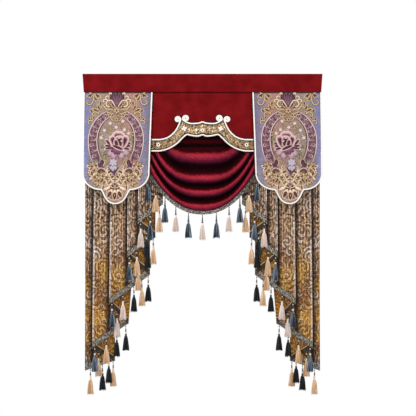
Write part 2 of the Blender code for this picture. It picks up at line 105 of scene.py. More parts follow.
def tubeMesh(rings):
    # quads round a tube, with a small fan of quads closing each end at its middle
    count, sides = rings.shape[:2]
    middle = np.stack((rings[0].mean(axis=0), rings[-1].mean(axis=0)))
    points = np.concatenate((rings.reshape(-1, 3), middle))
    base = np.arange(0, sides, 2)
    next1, next2 = base + 1, (base + 2) % sides
    last = (count - 1) * sides
    first = np.stack((base, np.full_like(base, count * sides), next2, next1), axis=-1)
    final = np.stack((last + base, last + next1, last + next2, np.full_like(base, count * sides + 1)), axis=-1)
    return points, np.concatenate((gridFaces(count, sides, closed=True), first, final))


def joinMeshes(parts):
    # several (points, faces) pairs as one
    starts = np.cumsum([0] + [len(part[0]) for part in parts[:-1]])
    return (np.concatenate([part[0] for part in parts]),
            np.concatenate([part[1] + start for part, start in zip(parts, starts)]))


def addPiece(name, node, slot, points, *materials, faces=None, uv=None, fields=None, turned=False):
    # one mesh object from a grid of points, or from points and quads; fields are values for
    # each point, turned makes the faces look the other way
    if faces is None:
        faces = gridFaces(*points.shape[:2])
    if turned:
        faces = faces[:, ::-1]
    mesh = bpy.data.meshes.new(name)
    mesh.from_pydata(points.reshape(-1, 3).tolist(), [], faces.tolist())
    if uv is not None:
        layer = mesh.uv_layers.new(name="cloth")
        corner = np.empty(len(mesh.loops), dtype=np.int32)
        mesh.loops.foreach_get("vertex_index", corner)
        layer.data.foreach_set("uv", uv.reshape(-1, 2)[corner].ravel())
    for label, values in (fields or {}).items():
        mesh.attributes.new(label, "FLOAT", "POINT").data.foreach_set("value", values.ravel())
    mesh.shade_smooth()
    for material in materials:
        mesh.materials.append(material)
    mesh.update()
    piece = bpy.data.objects.new(name, mesh)
    bpy.context.scene.collection.objects.link(piece)
    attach(piece, body)
    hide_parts(node)
    return piece


def addCloth(*arguments, **settings):
    # a piece with even thickness to both sides; a second material is for the wrong side
    piece = addPiece(*arguments, **settings)
    solid = piece.modifiers.new("thickness", "SOLIDIFY")
    solid.thickness = clothThick
    solid.offset = 0.0
    solid.use_even_offset = True
    solid.use_quality_normals = True
    solid.material_offset = len(piece.data.materials) - 1
    return piece


def shaderNode(tree, kind, inputs, **settings):
    made = tree.nodes.new("ShaderNode" + kind)
    for key, value in settings.items():
        setattr(made, key, value)
    for key, value in inputs.items():
        socket = made.inputs[key]
        if isinstance(value, Value):
            tree.links.new(value.socket, socket)
        else:
            socket.default_value = (*value, 1.0) if socket.type == "RGBA" else value
    return made


class Value:
    # an output of a shader node; what is reckoned with it adds further nodes
    def __init__(self, socket):
        self.socket = socket

    def make(self, kind, inputs, output=0, **settings):
        return Value(shaderNode(self.socket.id_data, kind, inputs, **settings).outputs[output])

    def reckon(self, operation, other=0.0):
        return self.make("Math", {0: self, 1: other}, operation=operation)

    def __add__(self, other):
        return self.reckon("ADD", other)

    def __sub__(self, other):
        return self.reckon("SUBTRACT", other)

    def __rsub__(self, other):
        return self.make("Math", {0: other, 1: self}, operation="SUBTRACT")

    def __mul__(self, other):
        return self.reckon("MULTIPLY", other)

    def __abs__(self):
        return self.reckon("ABSOLUTE")

    def sine(self):
        return self.reckon("SINE")

    def vector(self, operation, other):
        return self.make("VectorMath", {0: self, 1: other}, operation=operation)

    def parts(self):
        return [Value(part) for part in shaderNode(self.socket.id_data, "SeparateXYZ", {0: self}).outputs]

    def noise(self, scale, detail=2.0, roughness=0.5, output="Fac"):
        return self.make("TexNoise", {"Vector": self, "Scale": scale, "Detail": detail, "Roughness": roughness},
                output)

    def voronoi(self, scale, randomness, feature="F1"):
        # distance, a tint for each cell and the place of its middle
        inputs = {"Vector": self, "Scale": scale, "Randomness": randomness}
        made = shaderNode(self.socket.id_data, "TexVoronoi", inputs, feature=feature)
        return [Value(made.outputs[label]) for label in ("Distance", "Color", "Position") if label in made.outputs]

    def cells(self, scale, randomness):
        # distance from the middle of each cell, angle about it and a number for each cell
        distance, tint, middle = self.voronoi(scale, randomness)
        across, up, _ = self.vector("SUBTRACT", middle).parts()
        return distance, up.reckon("ARCTAN2", across), tint.parts()[0]

    def between(self, low, high, start=0.0, end=1.0):
        # start up to low, end from high on
        return self.make("MapRange", {0: self, 1: low, 2: high, 3: start, 4: end})

    def mix(self, first, second):
        # the first colour where the value is 0, the second where it is 1
        return self.make("Mix", {0: self, 6: first, 7: second}, 2, data_type="RGBA")

    def tinted(self, colour):
        return self.make("Mix", {0: 1.0, 6: self, 7: colour}, 2, data_type="RGBA", blend_type="MULTIPLY")

    def ramp(self, *stops):
        # colour ramp from (place, colour) pairs
        made = shaderNode(self.socket.id_data, "ValToRGB", {"Fac": self})
        bar = made.color_ramp.elements
        for index, (place, colour) in enumerate(stops):
            stop = bar[index] if index < 2 else bar.new(place)
            stop.position = place
            stop.color = (*colour, 1.0)
        return Value(made.outputs["Color"])


class Surface:
    # a material whose colour and bump are reckoned from coordinates and values on the points
    def __init__(self, name, roughness, sheen, sheenTint, specular):
        self.material = bpy.data.materials.new(name)
        self.material.use_nodes = True
        self.tree = self.material.node_tree
        self.shader = self.tree.nodes["Principled BSDF"]
        for label, value in (("Roughness", roughness), ("Specular IOR Level", specular), ("Sheen Weight", sheen),
                             ("Sheen Roughness", 0.45), ("Sheen Tint", (*sheenTint, 1.0))):
            self.shader.inputs[label].default_value = value

    def read(self, kind, output=0, **settings):
        return Value(shaderNode(self.tree, kind, {}, **settings).outputs[output])

    def place(self, *scale):
        return self.read("TexCoord", "Object").vector("MULTIPLY", scale or (1.0, 1.0, 1.0))

    def uv(self, *scale):
        return self.read("UVMap", uv_map="cloth").vector("MULTIPLY", scale or (1.0, 1.0, 1.0))

    def field(self, label):
        return self.read("Attribute", "Fac", attribute_name=label)

    def finish(self, colour, height=None, strength=0.0, distance=0.0):
        self.tree.links.new(colour.socket, self.shader.inputs["Base Color"])
        if height:
            bump = height.make("Bump", {"Height": height, "Strength": strength, "Distance": distance})
            self.tree.links.new(bump.socket, self.shader.inputs["Normal"])
        return self.material


def velvetMaterial(name, dark, light, roughness=0.85, sheen=0.03, hem=False):
    # soft patches of pile three parts to one with a fine grain; where it comes out from under
    # the heading's hem it is darker, a painted shadow of the hem
    velvet = Surface(name, roughness, sheen, (1.0, 0.4, 0.4), 0.04)
    place = velvet.place()
    grain = place.noise(420.0)
    colour = (place.noise(14.0, 3.0) * 0.75 + grain * 0.25).ramp((0.36, dark), (0.64, light))
    # painted shadow of the heading's hem across the top of the panel
    if hem:
        colour = place.parts()[2].between(-0.1165, -0.1235, 0.8, 0.0).mix(colour, (0.03, 0.001, 0.001))
    return velvet.finish(colour, grain, 0.5, 0.0008)


def cordMaterial(name, colour, shade):
    # a fine grain between two shades
    cord = Surface(name, 0.5, 0.3, (1.0, 0.98, 0.94), 0.35)
    grain = cord.place().noise(260.0)
    return cord.finish(grain.ramp((0.35, shade), (0.6, colour)), grain, 0.4, 0.0006)


def beadMaterial(name, colour, roughness):
    # cloudy, up to three tenths darker
    bead = Surface(name, roughness, 0.0, (1.0, 1.0, 1.0), 0.5)
    cloud = bead.place().noise(300.0)
    return bead.finish(cloud.mix([0.7 * part for part in colour], colour))


def yarnMaterial(name, *tints):
    # every strand has its own tone, partly at random and partly painted light from one side, with a fine lengthwise
    # grain
    yarn = Surface(name, 0.6, 0.06, (1.0, 0.97, 0.95), 0.1)
    grain = yarn.place(500.0, 500.0, 60.0).noise(1.0)
    value = yarn.field("tone") + grain.between(0.2, 0.8, -0.15, 0.15)
    return yarn.finish(value.ramp(*zip((0.1, 0.48, 0.9), tints)), grain, 0.4, 0.0005)


def threadMaterial(name, *tints):
    # satin stitch: fine lines across the thread, its colour from rim to crown by the rim value: painted shade at the
    # rim, a painted highlight on the crown
    thread = Surface("thread_" + name, 0.42, 0.1, (1.0, 1.0, 1.0), 0.25)
    noise = thread.uv(700.0, 160.0, 1.0).noise(1.0)
    stitches = (thread.uv().parts()[0] * 4200.0).sine()
    value = 1.0 - thread.field("rim") + (noise - 0.5) * 0.7
    return thread.finish(value.ramp(*zip((0.08, 0.42, 0.92), tints)), stitches * 0.4 + noise, 0.5, 0.0006)


def braidMaterial():
    # grey and taupe threads plaited on the slant by the product of two sines, flecked, darker with
    # painted shade on the backs of the pleats and towards the ends of the swag, with a gold line along their upper
    # edge
    braid = Surface("braid_weave", 0.6, 0.05, (1.0, 1.0, 1.0), 0.12)
    uv = braid.uv()
    wide, high, _ = uv.parts()
    along, across = wide * 420.0, high * 420.0
    value = (along + across).sine() * (along - across).sine() * 0.13 + uv.noise(115.0, 3.0, 0.6)
    colour = value.ramp((0.36, (0.008, 0.007, 0.006)), (0.47, (0.075, 0.066, 0.052)),
                        (0.57, (0.25, 0.24, 0.215)), (0.69, (0.74, 0.74, 0.72)))
    colour = uv.noise(14.0).between(0.42, 0.6, 0.0, 0.6).mix(colour, colour.tinted((0.85, 0.66, 0.45)))
    backShade = braid.field("inner")
    # painted shade: nearly black where the braid lies on the pleats' backs
    colour = (backShade * 0.86).mix(colour, (0.016, 0.011, 0.008))
    colour = (high.between(0.029, 0.0315) * backShade).mix(colour, (0.62, 0.38, 0.15))
    return braid.finish(colour, value, 0.8, 0.0012)


def bandMaterial():
    # gold brocade: leaf-like cells in brown, orange and pale gold, finer flecks over them,
    # dark gaps, duller away from the middle and, as painted shade, nearly black against the piping
    band = Surface("band_brocade", 0.5, 0.05, (1.0, 0.95, 0.8), 0.2)
    uv = band.uv()
    rim = uv.voronoi(70.0, 0.9, "DISTANCE_TO_EDGE")[0]
    flecks = uv.noise(105.0, 3.0, 0.6)
    value = uv.voronoi(70.0, 0.9)[1].parts()[0] * 0.74 + flecks.between(0.35, 0.65, -0.34, 0.6)
    colour = value.ramp((0.1, (0.03, 0.012, 0.004)), (0.28, (0.22, 0.095, 0.024)), (0.48, (0.56, 0.31, 0.095)),
                        (0.66, (0.86, 0.62, 0.28)), (0.84, (1.0, 0.94, 0.76)))
    colour = rim.between(0.0, 0.11, 0.85, 0.0).mix(colour, (0.06, 0.024, 0.008))
    away = abs(band.place().parts()[0]).between(0.1, 0.24)
    colour = away.mix(colour, colour.tinted((0.45, 0.34, 0.25)))
    # painted shade along both edges of the band, against the piping
    colour = band.field("edge").between(0.0062, 0.0105, 0.92, 0.0).mix(colour, (0.02, 0.006, 0.003))
    return band.finish(colour, rim + flecks, 0.7, 0.0012)


def flagMaterial():
    # ribbed silk in clouds of two shades: blue at the sides, taupe to the left and rose to the
    # right of the middle, paler at the foot, and a painted shadow under the heading's hem
    silk = Surface("flag_silk", 0.55, 0.08, (0.9, 0.9, 1.0), 0.12)
    uv = silk.uv()
    across, down, _ = uv.parts()
    cloud = uv.noise(22.0, 5.0)
    reach = abs(across + 0.005) + (cloud - 0.5) * 0.05
    lean = across.between(-0.09, 0.09)
    foot = down.between(-0.5, -0.64)
    taupe = cloud.mix((0.14, 0.1, 0.078), (0.42, 0.34, 0.29))
    rose = cloud.mix((0.23, 0.105, 0.085), (0.5, 0.285, 0.24))
    blue = (foot * 0.8).mix(cloud.mix((0.11, 0.13, 0.33), (0.23, 0.27, 0.56)),
                            cloud.mix((0.25, 0.28, 0.42), (0.4, 0.43, 0.57)))
    grey = foot.mix(cloud.mix((0.1, 0.08, 0.125), (0.235, 0.2, 0.275)),
                    cloud.mix((0.19, 0.17, 0.22), (0.34, 0.31, 0.38)))
    below = lean.mix(cloud.mix((0.24, 0.185, 0.15), (0.48, 0.4, 0.33)),
                     cloud.mix((0.33, 0.19, 0.13), (0.6, 0.4, 0.29)))
    middle = down.between(-0.56, -0.62).mix(lean.mix(taupe, rose), below)
    colour = reach.between(0.125, 0.165).mix(middle, cloud.mix((0.13, 0.11, 0.19), (0.31, 0.28, 0.39)))
    colour = reach.between(0.165, 0.205).mix(colour, across.between(-0.02, 0.04).mix(blue, grey))
    threads = silk.uv(420.0, 900.0, 1.0).noise(1.0)
    colour = colour.tinted((uv.noise(130.0, 3.0) * 0.6 + threads * 0.4).between(0.35, 0.65, 0.6, 1.42))
    # painted shadow of the heading's hem across the top of the flag
    colour = down.between(-0.1175, -0.1255, 0.95, 0.0).mix(colour, (0.03, 0.006, 0.01))
    return silk.finish(colour, (down * 2200.0).sine() * 0.5 + threads, 0.4, 0.0006)


def swagMaterial():
    # velvet with painted light and shade, colour by the phase between two folds: a painted highlight
    # along the upper side of a crest, mottled wine under it, painted shade nearly black in the hollows;
    # above the first crest painted shade of the band with faint level stripes; darker a little away from the middle
    velvet = Surface("swag_velvet", 0.75, 0.02, (0.9, 0.3, 0.5), 0.02)
    place = velvet.place()
    side, _, up = place.parts()
    patches, mottle, grain = place.noise(30.0, 5.0, 0.65), place.noise(105.0, 3.0, 0.6), place.noise(500.0)
    phase = velvet.field("phase")
    shift = patches.between(0.2, 0.8, -0.055, 0.055) + mottle.between(0.2, 0.8, -0.035, 0.035)
    cycle = (phase + 0.5 + shift).reckon("FRACT")
    colour = cycle.ramp((0.0, (0.004, 0.0006, 0.0008)), (0.16, (0.019, 0.001, 0.002)),
                        (0.24, (0.018, 0.0009, 0.002)), (0.33, (0.1, 0.0025, 0.0065)),
                        (0.4, (0.39, 0.015, 0.03)), (0.47, (0.37, 0.022, 0.04)),
                        (0.56, (0.27, 0.017, 0.037)), (0.64, (0.17, 0.01, 0.032)),
                        (0.73, (0.085, 0.005, 0.02)), (0.84, (0.017, 0.0012, 0.004)),
                        (1.0, (0.004, 0.0006, 0.0008)))
    under = cycle.between(0.5, 0.62) * cycle.between(0.84, 0.72)
    colour = (under * mottle.between(0.54, 0.72, 0.0, 0.55)).mix(colour, (0.24, 0.05, 0.14))
    # painted highlight: mottled brighter red along the crests
    crest = cycle.between(0.34, 0.42) * cycle.between(0.68, 0.56)
    colour = (crest * mottle.between(0.5, 0.7, 0.0, 0.45)).mix(colour, (0.54, 0.085, 0.12))
    # painted shadow of the band: nearly black with faint level stripes above the first crest
    stripes = ((up * 130.0).sine() + patches * 2.0).between(0.4, 1.9)
    top = stripes.mix((0.005, 0.0005, 0.0008), (0.038, 0.001, 0.003))
    colour = phase.between(0.93, 0.7).mix(colour, top)
    aside = abs(side).between(0.05, 0.13, 0.0, 0.24) * abs(side).between(0.26, 0.18)
    colour = (grain * 0.25 + aside).mix(colour, (0.0, 0.0, 0.0))
    return velvet.finish(colour, grain + mottle, 0.4, 0.0008)


def brocadeMaterial(name, tints, lining=False):
    # dark ribbed ground; in small cells a two-armed spiral wave of angle and distance gives
    # leaves, grey, ochre or rust by the cell's number, with dark outlines; in large cells a
    # finer spiral gives dark curls and some hold a gold flower; double rings at a set
    # distance in the largest cells make long arcs; a painted highlight makes the left edge of
    # each pleat pale and painted shade makes the part beside the next one nearly black
    ground, deep, gold, pale, rust, tan = tints
    cloth = Surface(name, 0.6, 0.05, (1.0, 0.92, 0.85), 0.12)
    uv = cloth.uv()
    wide, down, _ = uv.parts()
    wobble = uv.noise(11.0, 3.0, output="Color").vector("MULTIPLY", (0.06, 0.06, 0.0))
    place = uv.vector("MULTIPLY", (1.4, 1.0, 1.0)).vector("ADD", wobble)
    patches = uv.noise(7.0, 2.0, 0.4)
    threads = cloth.uv(150.0, 90.0, 1.0).noise(1.0, 3.0, 0.6)
    ribs = (wide * 430.0 + patches * 9.0).sine()
    small, smallAngle, smallNumber = place.cells(12.5, 0.9)
    arms = (smallAngle * 2.0 + small * 18.0).sine()
    leaf = arms.between(0.05, 0.4)
    outline = arms.between(0.1, -0.25) * arms.between(-0.97, -0.7)
    kind = smallNumber + patches.between(0.35, 0.65, -0.3, 0.25)
    tint = kind.ramp((0.05, pale), (0.32, tan), (0.52, rust), (0.64, tan), (0.8, (0.56, 0.31, 0.08)))
    distance, angle, number = place.cells(7.5, 0.7)
    spiral = (angle + distance * 40.0).sine()
    lines = spiral.between(0.45, 0.88) * distance.between(0.46, 0.34)
    light = spiral.between(-0.2, -0.75) * distance.between(0.44, 0.32)
    flower = (distance + (angle * 7.0).sine() * 0.06).between(0.33, 0.26)
    veins = ((angle + distance) * 14.0).sine().between(0.55, 0.9, 0.0, 0.65)
    arc = abs(abs(place.cells(4.0, 0.8)[0] - 0.36) - 0.055).between(0.022, 0.008)
    high = down.between(-1.25, -0.8)
    plain = 1.0 - high * (0.0 if lining else 0.6)
    colour = (patches.between(0.46, 0.62, 0.0, 0.6) * plain).mix(ground, gold)
    colour = (leaf * 0.78).mix(colour, tint)
    colour = (outline * 0.86).mix(colour, deep)
    colour = (light * 0.5).mix(colour, number.between(0.3, 0.34).mix(tan, gold))
    colour = (flower * number.between(0.52, 0.58) * plain).mix(colour, veins.mix(gold, deep))
    if not lining:
        # painted highlight along the left fold of each pleat, with pale streaks that also run over the upper part
        edge = cloth.field("fromFold").between(0.014, 0.004) * wide.between(0.195, 0.215) \
            * down.between(-1.85, -1.0, 0.45, 1.0)
        streak = (ribs + threads * 1.5).between(-0.2, 1.5, 0.1, 1.0)
        colour = ((edge * 0.3 + high * 0.34) * streak).mix(colour, pale)
        colour = (edge * 0.62).mix(colour, (0.74, 0.67, 0.64))
    colour = (arc * 0.62).mix(colour, deep)
    colour = (lines * 0.75).mix(colour, deep)
    shade = threads.between(0.33, 0.67, 0.4, 1.6) * ((high * 0.3 + 0.16) * ribs + 1.06)
    if lining:
        shade = shade * down.between(-1.5, -0.95, 0.96, 0.5)
    else:
        brown = high * patches.between(0.38, 0.53, 0.28, 0.8)
        colour = brown.mix(colour, leaf.mix(deep, (0.38, 0.265, 0.2)))
        shade = shade * wide.between(0.195, 0.215, 0.9, 1.0)
        # painted shade: nearly black in the part beside the next pleat
        toNext = cloth.field("toNext")
        under = toNext.between(0.008, 0.032, 0.94, 0.0) * toNext.between(-0.012, -0.004)
        colour = under.mix(colour, deep)
    return cloth.finish(colour.tinted(shade), ribs * 0.35 + (threads - lines * 1.2), 0.6, 0.0014)


headingLook = {"width": 1.494, "height": 0.114, "backHeight": 0.1, "frontY": -0.0174, "backY": 0.017,
               "slant": 0.008, "fold": 0.0035, "columns": 150, "ripple": 0.0016, "sway": 0.0012,
               "flatHeight": 0.248}
panelLook = {"halfWidth": 0.735, "topZ": -0.006, "hangZ": -0.118, "y": -0.0128, "lean": 0.05,
             "columns": 160, "rows": 60, "ripple": 0.001, "rippleHalf": 0.33, "flatHeight": 0.45}
bandLook = {"width": 0.07, "bulge": 0.0012, "columns": 260, "rows": 14}
# edges of the gold band from the middle outwards: x, z above and x, z below
bandEdges = np.array((
    (0.0, -0.3065, 0.0, -0.3755), (-0.0194, -0.3125, -0.025, -0.383), (-0.0444, -0.3155, -0.0531, -0.382),
    (-0.075, -0.3155, -0.0781, -0.3765), (-0.1, -0.3075, -0.095, -0.3735), (-0.1144, -0.2985, -0.1081, -0.379),
    (-0.126, -0.2915, -0.1206, -0.39), (-0.1375, -0.309, -0.1344, -0.403), (-0.1469, -0.331, -0.1494, -0.419),
    (-0.1675, -0.365, -0.1719, -0.438), (-0.2062, -0.3985, -0.2138, -0.462), (-0.2513, -0.414, -0.2625, -0.475),
    (-0.3181, -0.4165, -0.3181, -0.476), (-0.735, -0.4165, -0.735, -0.476)))


def panelY(z):
    # straight down under the heading, then leaning evenly to the front
    return panelLook["y"] - panelLook["lean"] * np.maximum(panelLook["hangZ"] - np.asarray(z), 0.0)


def bandLowerZ(x):
    return np.interp(-np.abs(x), *bandEdges[::-1, 2:].T)


def bandLines(count):
    # both edges over the whole width as smooth lines, from left to right
    return smoothPath(mirrored(bandEdges[::-1]), count)


def offsetPath(path, distance):
    # a line in the XZ plane shifted to its left side with mitred corners
    step = unit(np.diff(path, axis=0))
    normals = np.column_stack((-step[:, 1], step[:, 0]))
    after = np.vstack((normals, normals[-1:]))
    corner = unit(np.vstack((normals[:1], normals)) + after)
    return path + distance / np.maximum(np.sum(corner * after, axis=1, keepdims=True), 0.3) * corner


def buildHeading(material):
    # front leaf, fold over the top and back leaf in profile, carried along x; the front leaf
    # narrows a little downwards and has a soft ripple, a sine of a sine
    look = headingLook
    front, back, fold = look["frontY"], look["backY"], look["fold"]
    top = -clothThick / 2
    turn = np.linspace(0.0, math.pi / 2, 6)
    rise, run = fold * (1 - np.sin(turn)), fold * (1 - np.cos(turn))
    frontZ = np.linspace(-look["height"], top - fold, 12)
    backZ = np.linspace(top - fold, -look["backHeight"], 8)
    profileY = np.concatenate((0 * frontZ + front, front + run[1:], (0.0,), back - rise[:-1], 0 * backZ + back))
    profileZ = np.concatenate((frontZ, top - rise[1:], (top,), top - run[:-1], backZ))
    z, s = np.meshgrid(profileZ, np.linspace(-1.0, 1.0, look["columns"]), indexing="ij")
    isFront = (np.arange(len(z)) < len(frontZ))[:, None]
    low = np.clip(-z / look["height"], 0.0, 1.0)
    y = profileY[:, None] - isFront * low * look["ripple"] * (0.5 + 0.5 * np.sin(17.0 * s + 1.3 * np.sin(5.0 * s)))
    z = z + isFront * low ** 8 * look["sway"] * np.cos(9.0 * s)
    x = s * (look["width"] / 2 - look["slant"] * low)
    piece = addCloth("heading_band_cloth", "heading_band", "red_velvet", grid(x, y, z), material, turned=True)


def buildPanel(material):
    # from the heading's top down to the gold band's middle line, rippled between the flags
    look = panelLook
    half, top = look["halfWidth"], look["topZ"]
    x = np.linspace(-half, half, look["columns"])
    lowest = np.interp(-np.abs(x), *((bandEdges[::-1, :2] + bandEdges[::-1, 2:]) / 2).T)
    z = top + (lowest - top) * np.linspace(0.0, 1.0, look["rows"])[:, None]
    ripple = smoothStep(-z, 0.12, 0.3) * (0.5 + 0.5 * np.sin(38.0 * x + 2.0 * np.sin(11.0 * x)))
    y = panelY(z) - look["ripple"] * ripple * (np.abs(x) < look["rippleHalf"])
    piece = addCloth("valance_cloth", "valance_panel", "red_velvet", grid(x, y, z), material, turned=True)


def buildBand(material):
    # bulges to the front between its edges by a sine
    look = bandLook
    lines = bandLines(look["columns"])
    share = np.linspace(0.0, 1.0, look["rows"])[:, None]
    x, z = (lines[:, part] + (lines[:, part + 2] - lines[:, part]) * share for part in (0, 1))
    y = panelY(z) - clothThick - clothGap - look["bulge"] * np.sin(math.pi * share)
    middle = look["rows"] // 2
    run = runLength(np.column_stack((x[middle], z[middle])))
    # distance from the nearer edge, for the painted shade against the piping
    edge = look["width"] * np.minimum(share, 1.0 - share) + 0 * x
    piece = addCloth("scroll_band_cloth", "scroll_band", "gold_brocade", grid(x, y, z), material,
                     uv=grid(run, share * look["width"]), fields={"edge": edge}, turned=True)


pipingLook = {"radius": 0.0047, "sides": 12, "lowerForward": 0.0048, "shadowReach": 0.0048,
              "outerVolute": (-0.154, -0.2855), "outerRadius": 0.019,
              "innerVolute": (-0.103, -0.2785), "innerRadius": 0.02, "innerStart": math.radians(215),
              "tighten": 0.0093, "turn": math.radians(690), "shadowSteps": 24,
              "shadowGap": 0.0006, "lowerShadow": 0.001, "flagTape": 0.003}


def volute(centre, radius, start, turn):
    # a spiral that tightens evenly as it turns
    angle = np.linspace(0.0, turn, 45)
    size = radius - pipingLook["tighten"] * np.abs(angle) / math.tau
    return np.column_stack((centre[0] + size * np.cos(start + angle), centre[1] + size * np.sin(start + angle)))


def addCord(node, path, y, material):
    # a round cord along x, z places at the depth y
    line = np.column_stack((path[:, 0], y, path[:, 1]))
    along = unit(np.gradient(line, axis=0))
    wide = unit(np.cross(along, (0.0, -1.0, 0.0)))
    angle = around(pipingLook["sides"])[:, None]
    ring = np.cos(angle) * wide[:, None] + np.sin(angle) * np.cross(wide, along)[:, None]
    points, faces = tubeMesh(line[:, None] + ring * pipingLook["radius"])
    addPiece(f"{node}_cord", node, "white_piping", points, material, faces=faces)


def addShadowStrip(node, path, y, material):
    # a dark flat strip, a little wider than the cord, laid behind it as a painted shadow
    along = unit(np.gradient(path, axis=0))
    aside = np.column_stack((-along[:, 1], along[:, 0])) * (pipingLook["radius"] + pipingLook["shadowReach"])
    flat = np.stack((path + aside, path - aside))
    addPiece(f"{node}_shadow", node, "red_velvet", grid(flat[..., 0], y, flat[..., 1]), material, turned=True)


def buildBandPiping(material, shadow):
    look = pipingLook
    away = look["radius"] + clothGap
    steps = look["shadowSteps"]

    def addSeated(node, cord, under):
        addCord(node, cord, panelY(cord[:, 1]) - clothThick / 2 - away, material)
        addShadowStrip(node, under, panelY(under[:, 1]) - clothThick / 2 - look["shadowGap"], shadow)

    half = offsetPath(bandEdges[::-1, 2:], -away)
    half[-1] = (0.0, bandEdges[0, 3] - away)
    whole = smoothPath(mirrored(half), 330)
    addCord("piping_lower", whole, panelY(whole[:, 1]) - look["lowerForward"], material)
    # painted shadow strip under the lower cord, in front of the swag
    addShadowStrip("piping_lower", whole, panelY(whole[:, 1]) - look["lowerShadow"], shadow)
    run = offsetPath(bandEdges[:6:-1, :2], away)
    curl = volute(look["outerVolute"], look["outerRadius"], 0.0, look["turn"])
    for label, side in (("left", 1.0), ("right", -1.0)):
        addSeated(f"piping_upper_{label}", smoothPath(np.vstack((run, curl)), 260) * (side, 1.0),
                  smoothPath(np.vstack((run, curl[:steps])), 160) * (side, 1.0))
    run = offsetPath(bandEdges[5::-1, :2], away)
    run[-1] = (0.0, bandEdges[0, 1] + away)
    curl = volute(look["innerVolute"], look["innerRadius"], look["innerStart"], -look["turn"])
    addSeated("piping_middle", smoothPath(mirrored(np.vstack((curl[::-1], run))), 400),
              smoothPath(mirrored(np.vstack((curl[:steps][::-1], run))), 260))


flagLook = {"centreTop": -0.5235, "centreLow": -0.54, "halfTop": 0.2125, "halfLow": 0.2035, "sideZ": -0.622,
            "cusp": (0.09, -0.7205), "pulls": ((0.07, -0.734), (0.066, -0.8075)), "tipZ": -0.8075,
            "edgeGap": 0.0007, "rows": 127, "creases": (-0.4055, -0.48), "crease": 0.0011, "creaseWide": 0.007,
            "wave": 0.0006, "flat": (0.425, 0.8)}
flagDepths = np.array(((-0.8075, -0.0545), (-0.479, -0.0462), (-0.409, -0.0425), (-0.118, -0.0151),
        (-0.006, -0.0151)))


def flagY(z):
    return np.interp(z, *flagDepths.T)


def flagCentre(z):
    return np.interp(z, (flagLook["tipZ"], 0.0), (flagLook["centreLow"], flagLook["centreTop"]))


def flagHalf(z):
    return np.interp(z, (flagLook["sideZ"], 0.0), (flagLook["halfLow"], flagLook["halfTop"]))


def flagOutline():
    # a quarter ellipse for the shoulder, then a cubic curve down to the tip
    look = flagLook
    angle = np.linspace(0.0, math.pi / 2, 26)
    cuspX, cuspZ = look["cusp"]
    shoulder = np.column_stack((cuspX + (look["halfLow"] - cuspX) * np.cos(angle),
                                look["sideZ"] + (cuspZ - look["sideZ"]) * np.sin(angle)))
    t = np.linspace(0.0, 1.0, 22)[1:, None]
    cusp, first, second, tip = (np.array(place) for place in (look["cusp"], *look["pulls"], (0.0, look["tipZ"])))
    lobe = (1 - t) ** 3 * cusp + 3 * (1 - t) ** 2 * t * first + 3 * (1 - t) * t ** 2 * second + t ** 3 * tip
    return np.vstack((shoulder, lobe))


def flagPoint(a, z, lift, side):
    # place on the flag a metres to the right of its centre line, lift in front of the cloth
    look = flagLook
    ridge = sum(np.exp(-((z - at) / look["creaseWide"]) ** 2) for at in look["creases"])
    wave = look["wave"] * np.sin(26.0 * a + 9.0 * z) * smoothStep(-z, 0.12, 0.3)
    return grid(side * (flagCentre(z) + a), flagY(z) - look["crease"] * ridge - wave - lift, z)


def buildFlag(label, side, material):
    look = flagLook
    half = offsetPath(flagOutline(), -pipingLook["radius"] - look["edgeGap"])
    half[-1, 0] = 0.0
    across, lowest = mirrored(half * flip).T
    top, hang = panelLook["topZ"], panelLook["hangZ"]
    z = np.vstack((0 * across + top, 0 * across + (top + hang) / 2,
                   hang + (lowest - hang) * np.linspace(0.0, 1.0, look["rows"])[:, None]))
    a = across / look["halfLow"] * flagHalf(z)
    piece = addCloth(f"flag_{label}_cloth", f"flag_{label}", "flag_brocade", flagPoint(a, z, 0.0, side), material,
                     uv=grid(a, z), turned=side > 0)


def buildFlagPiping(label, side, material, shadow):
    sides = np.linspace(-0.1165, -0.6, 40)
    path = mirrored(np.vstack((np.column_stack((-flagHalf(sides), sides)), flagOutline() * flip)))
    z = path[:, 1]
    y = flagY(z) - (pipingLook["radius"] - clothThick / 2)
    line = np.column_stack((side * (path[:, 0] + flagCentre(z)), z))
    addCord(f"flag_piping_{label}", line, y, material)
    # painted shadow strip along part of the flag's side, beside the panel
    beside = (path[:, 0] > 0.1) & (z > -0.64) & (z < -0.124)
    addShadowStrip(f"flag_piping_{label}", line[beside], y[beside] + pipingLook["flagTape"], shadow)


# designs on the flag are drawn in millimetres from its centre line and its top edge; the
# medallion's borders: half width, height above and below its middle
needleLook = {"axis": -5, "seat": 1.1, "plump": 1.22, "ringZ": -412, "ringWide": 51, "ringFrom": 17, "ringTo": 124,
              "ringSlant": 9, "ringOuter": (169, 188, 246), "ringInner": (119, 152, 182)}
millimetre = 0.001
# slots of the threads that have none of their own
threadSlots = {"rose": "pink", "pale": "pink", "border": "pink", "petal": "pink", "lilac": "purple", "wine": "purple",
               "mauve": "purple", "plum": "purple", "peach": "cream", "almond": "gold"}


def stitchRibbon(path, width, height, count=26, taper=(0.25, 0.25)):
    # half-round cord along a smooth path, narrowing towards its two ends
    line = smoothPath(path, count)
    width = width * needleLook["plump"]
    t = np.linspace(0.0, 1.0, count)
    ends = np.min([np.clip(part / 0.25, 0, 1) * (1 - end) + end for part, end in zip((t, 1 - t), taper)], axis=0)
    along = unit(np.gradient(line, axis=0))
    normal = np.column_stack((-along[:, 1], along[:, 0]))
    across = np.array((-1.0, -0.6, 0.0, 0.6, 1.0))
    flat = line[:, None] + normal[:, None] * (across[None, :, None] * (width / 2 * ends)[:, None, None])
    lift = np.array((0.0, 0.75, 1.0, 0.75, 0.0)) * (height * ends)[:, None]
    return flat, lift, np.abs(across) + 0 * lift, grid(runLength(line)[:, None], across * width / 2)


